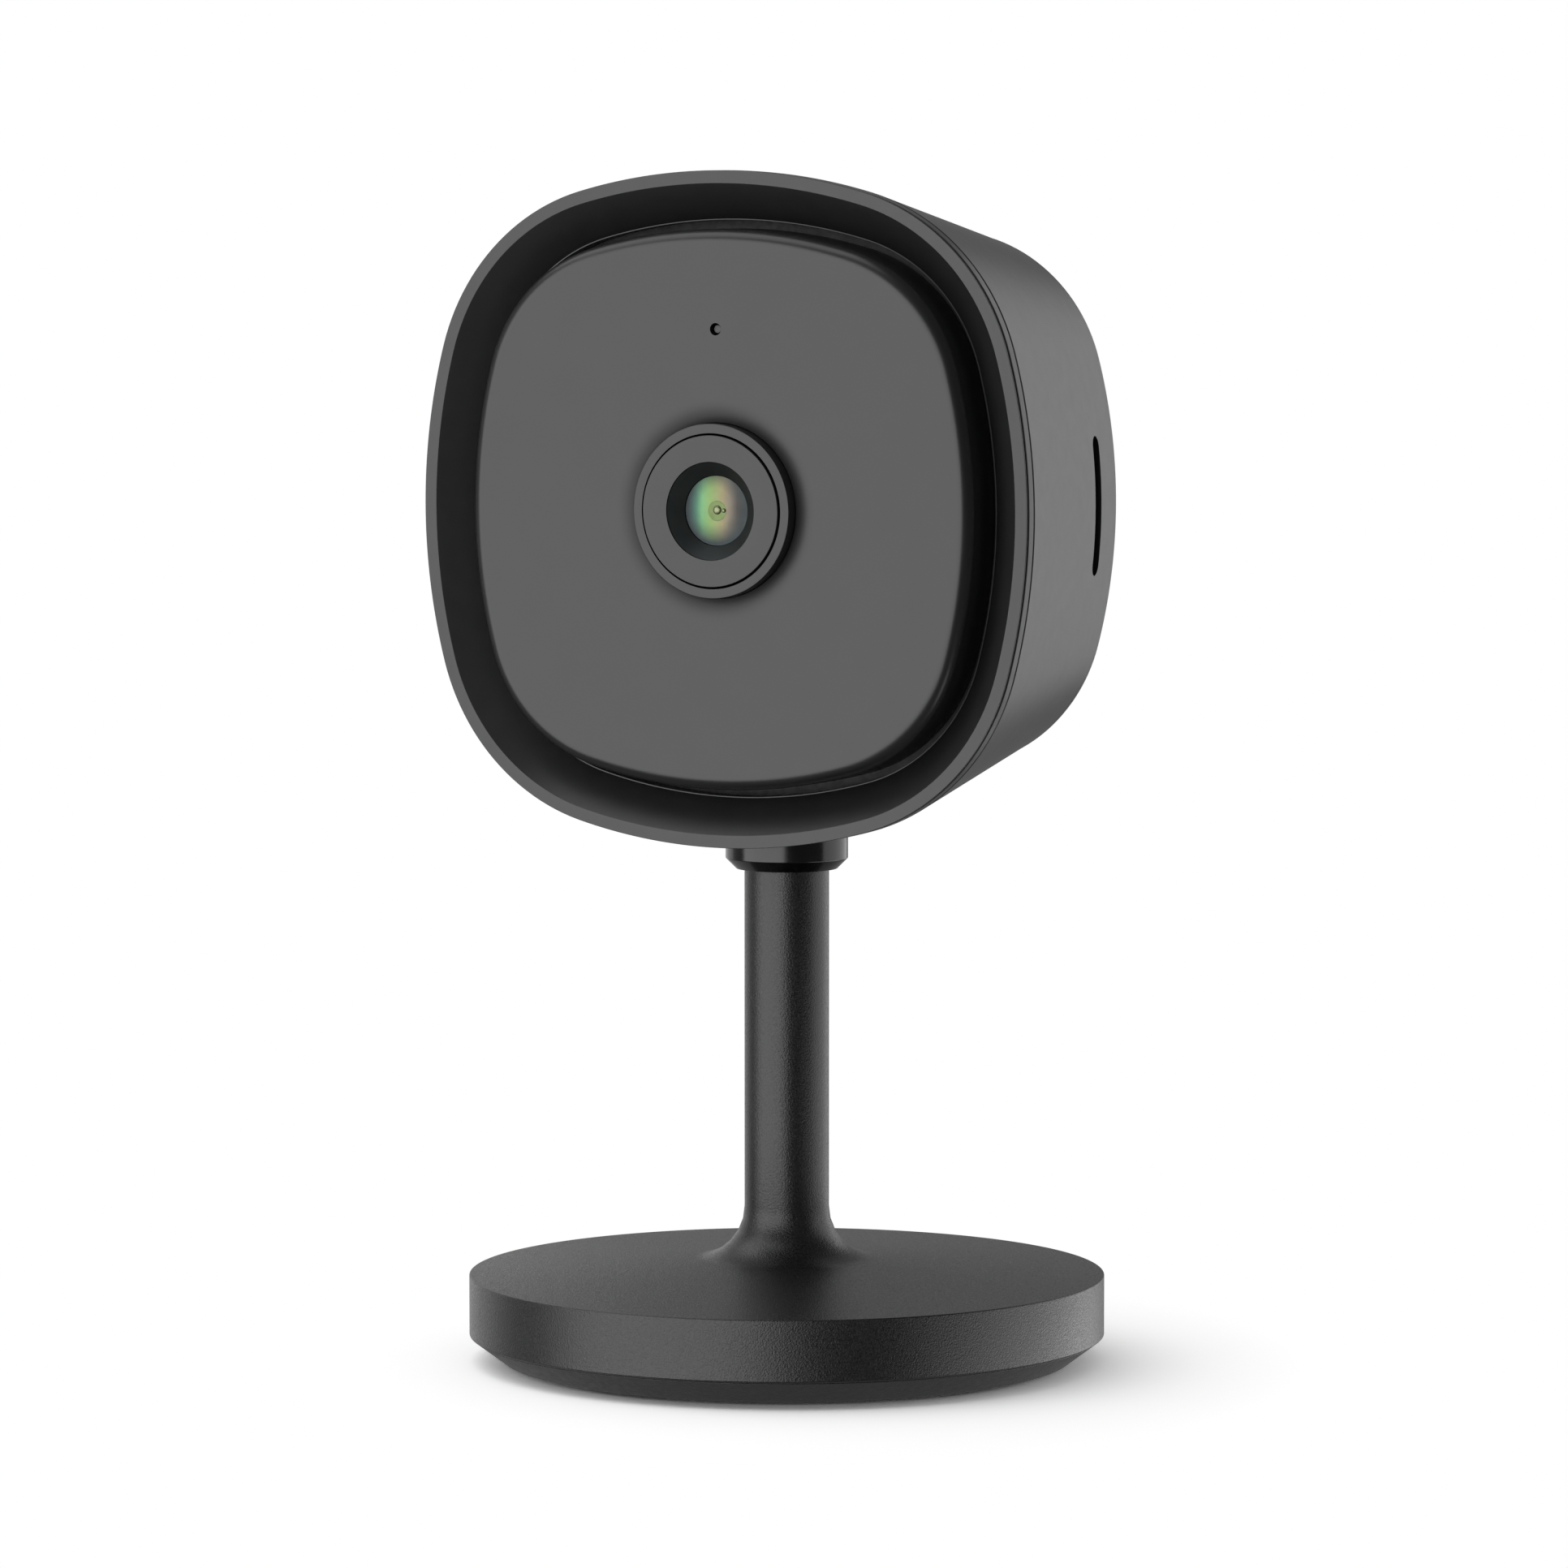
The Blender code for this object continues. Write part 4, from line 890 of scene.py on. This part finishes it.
def softbox(name, azimuth, elevation, distance, width, height, radiance, middle_z):
    """A rectangular light facing the object. Only reflections see it, unless it is the key."""
    data = bpy.data.lights.new(name, "AREA")
    data.shape = "RECTANGLE"
    data.size, data.size_y = width, height
    data.energy = radiance * math.pi * width * height
    light = bpy.data.objects.new(name, data)
    direction = facing(CAMERA_AZIMUTH + azimuth, elevation)
    light.location = Vector((0, 0, middle_z)) + direction * distance
    light.rotation_euler = direction.to_track_quat("Z", "Y").to_euler()
    light.visible_camera = False
    light.visible_diffuse = name == KEY_BOX
    bpy.context.scene.collection.objects.link(light)


def make_studio():
    """A white world to look at with a dim one for light, softboxes on both sides, and a white floor."""
    scene = bpy.context.scene
    scene.view_settings.view_transform = "Standard"
    scene.world = studio_world()
    for values in SOFTBOXES:
        softbox(*values)

    mesh = bmesh.new()
    bmesh.ops.create_grid(mesh, x_segments=FLOOR_SQUARES, y_segments=FLOOR_SQUARES, size=FLOOR_HALF)
    data = bpy.data.meshes.new("studio_floor")
    mesh.to_mesh(data)
    mesh.free()
    floor = bpy.data.objects.new("studio_floor", data)
    floor.location.z = PAD_LOW.z - FLOOR_DROP
    floor.rotation_euler.z = math.radians(CAMERA_AZIMUTH)
    scene.collection.objects.link(floor)
    floor.data.materials.append(floor_material())


def studio_world():
    """White to the camera, even soft light for matt surfaces, and for gloss a dark room with a dim wall."""
    world = bpy.data.worlds.new("studio")
    world.use_nodes = True
    tree = world.node_tree
    tree.nodes.clear()

    def background(strength):
        """A white background of the strength."""
        made = tree.nodes.new("ShaderNodeBackground")
        made.inputs["Color"].default_value = (1, 1, 1, 1)
        made.inputs["Strength"].default_value = strength
        return made

    place = tree.nodes.new("ShaderNodeTexCoord").outputs["Generated"]
    towards = vector_math(tree, "DOT_PRODUCT", place, facing(WALL_AZIMUTH, WALL_ELEVATION))
    wall = map_range(tree, towards, WALL_FADE, (ROOM_LEVEL, WALL_LEVEL))
    split = tree.nodes.new("ShaderNodeSeparateXYZ")
    tree.links.new(place, split.inputs[0])
    ground = map_range(tree, split.outputs["Z"], GROUND_FADE, (0.0, GROUND_LEVEL))
    room = background(ROOM_LEVEL)
    tree.links.new(number_math(tree, "ADD", wall, ground), room.inputs["Strength"])

    path = tree.nodes.new("ShaderNodeLightPath")
    shader = room.outputs[0]
    for ray, strength in (("Is Diffuse Ray", SOFT_LEVEL), ("Is Camera Ray", 1.0)):
        shader = mix_shaders(tree, path.outputs[ray], shader, background(strength).outputs[0])
    output = tree.nodes.new("ShaderNodeOutputWorld")
    tree.links.new(shader, output.inputs[0])
    return world


def floor_material():
    """White paper that takes the shadow and fades into the world. Only the camera sees it, from above."""
    made = bpy.data.materials.new("studio_floor")
    made.use_nodes = True
    tree = made.node_tree
    tree.nodes.clear()
    place = tree.nodes.new("ShaderNodeTexCoord").outputs["Object"]

    grain = tree.nodes.new("ShaderNodeTexNoise")
    grain.inputs["Scale"].default_value = PAPER_GRAIN_SCALE
    tree.links.new(place, grain.inputs["Vector"])
    paper = tree.nodes.new("ShaderNodeBsdfDiffuse")
    tree.links.new(map_range(tree, grain.outputs["Fac"], (0, 1), PAPER_TONES), paper.inputs["Color"])

    reach = vector_math(tree, "LENGTH", vector_math(tree, "MULTIPLY", place, FLOOR_FADE_STRETCH))
    glow = tree.nodes.new("ShaderNodeEmission")
    faded = map_range(tree, reach, FLOOR_FADE, (0, 1))
    sheet = mix_shaders(tree, faded, paper.outputs[0], glow.outputs[0])

    camera_ray = tree.nodes.new("ShaderNodeLightPath").outputs["Is Camera Ray"]
    backfacing = tree.nodes.new("ShaderNodeNewGeometry").outputs["Backfacing"]
    seen = number_math(tree, "SUBTRACT", camera_ray, backfacing)
    clear = tree.nodes.new("ShaderNodeBsdfTransparent")
    output = tree.nodes.new("ShaderNodeOutputMaterial")
    tree.links.new(mix_shaders(tree, seen, clear.outputs[0], sheet), output.inputs["Surface"])
    return made


def make_camera():
    """The camera at its viewing angle, aimed from the rim's middle."""
    data = bpy.data.cameras.new("camera")
    data.lens = LENS_MM
    data.sensor_width = SENSOR_MM
    data.clip_start, data.clip_end = CLIP_START, CLIP_END
    camera = bpy.data.objects.new("camera", data)
    forward = -facing(CAMERA_AZIMUTH, CAMERA_PITCH)
    right = forward.cross(Z_AXIS).normalized()
    up = right.cross(forward)
    aim = Vector((0, RIM_Y, HEAD_Z)) + right * AIM_RIGHT - up * AIM_DOWN
    camera.location = aim - forward * CAMERA_DISTANCE
    camera.rotation_euler = forward.to_track_quat("-Z", "Y").to_euler()
    bpy.context.scene.collection.objects.link(camera)
    bpy.context.scene.camera = camera


def main():
    """Builds the studio and every piece."""
    make_camera()
    make_studio()
    look = finishes()
    dress_frame(look)
    make_stand(look)
    make_collar(look)
    make_bezel(look)
    make_panel(look)
    make_housing(look)
    make_lens(look)
    make_pipe(look)


main()
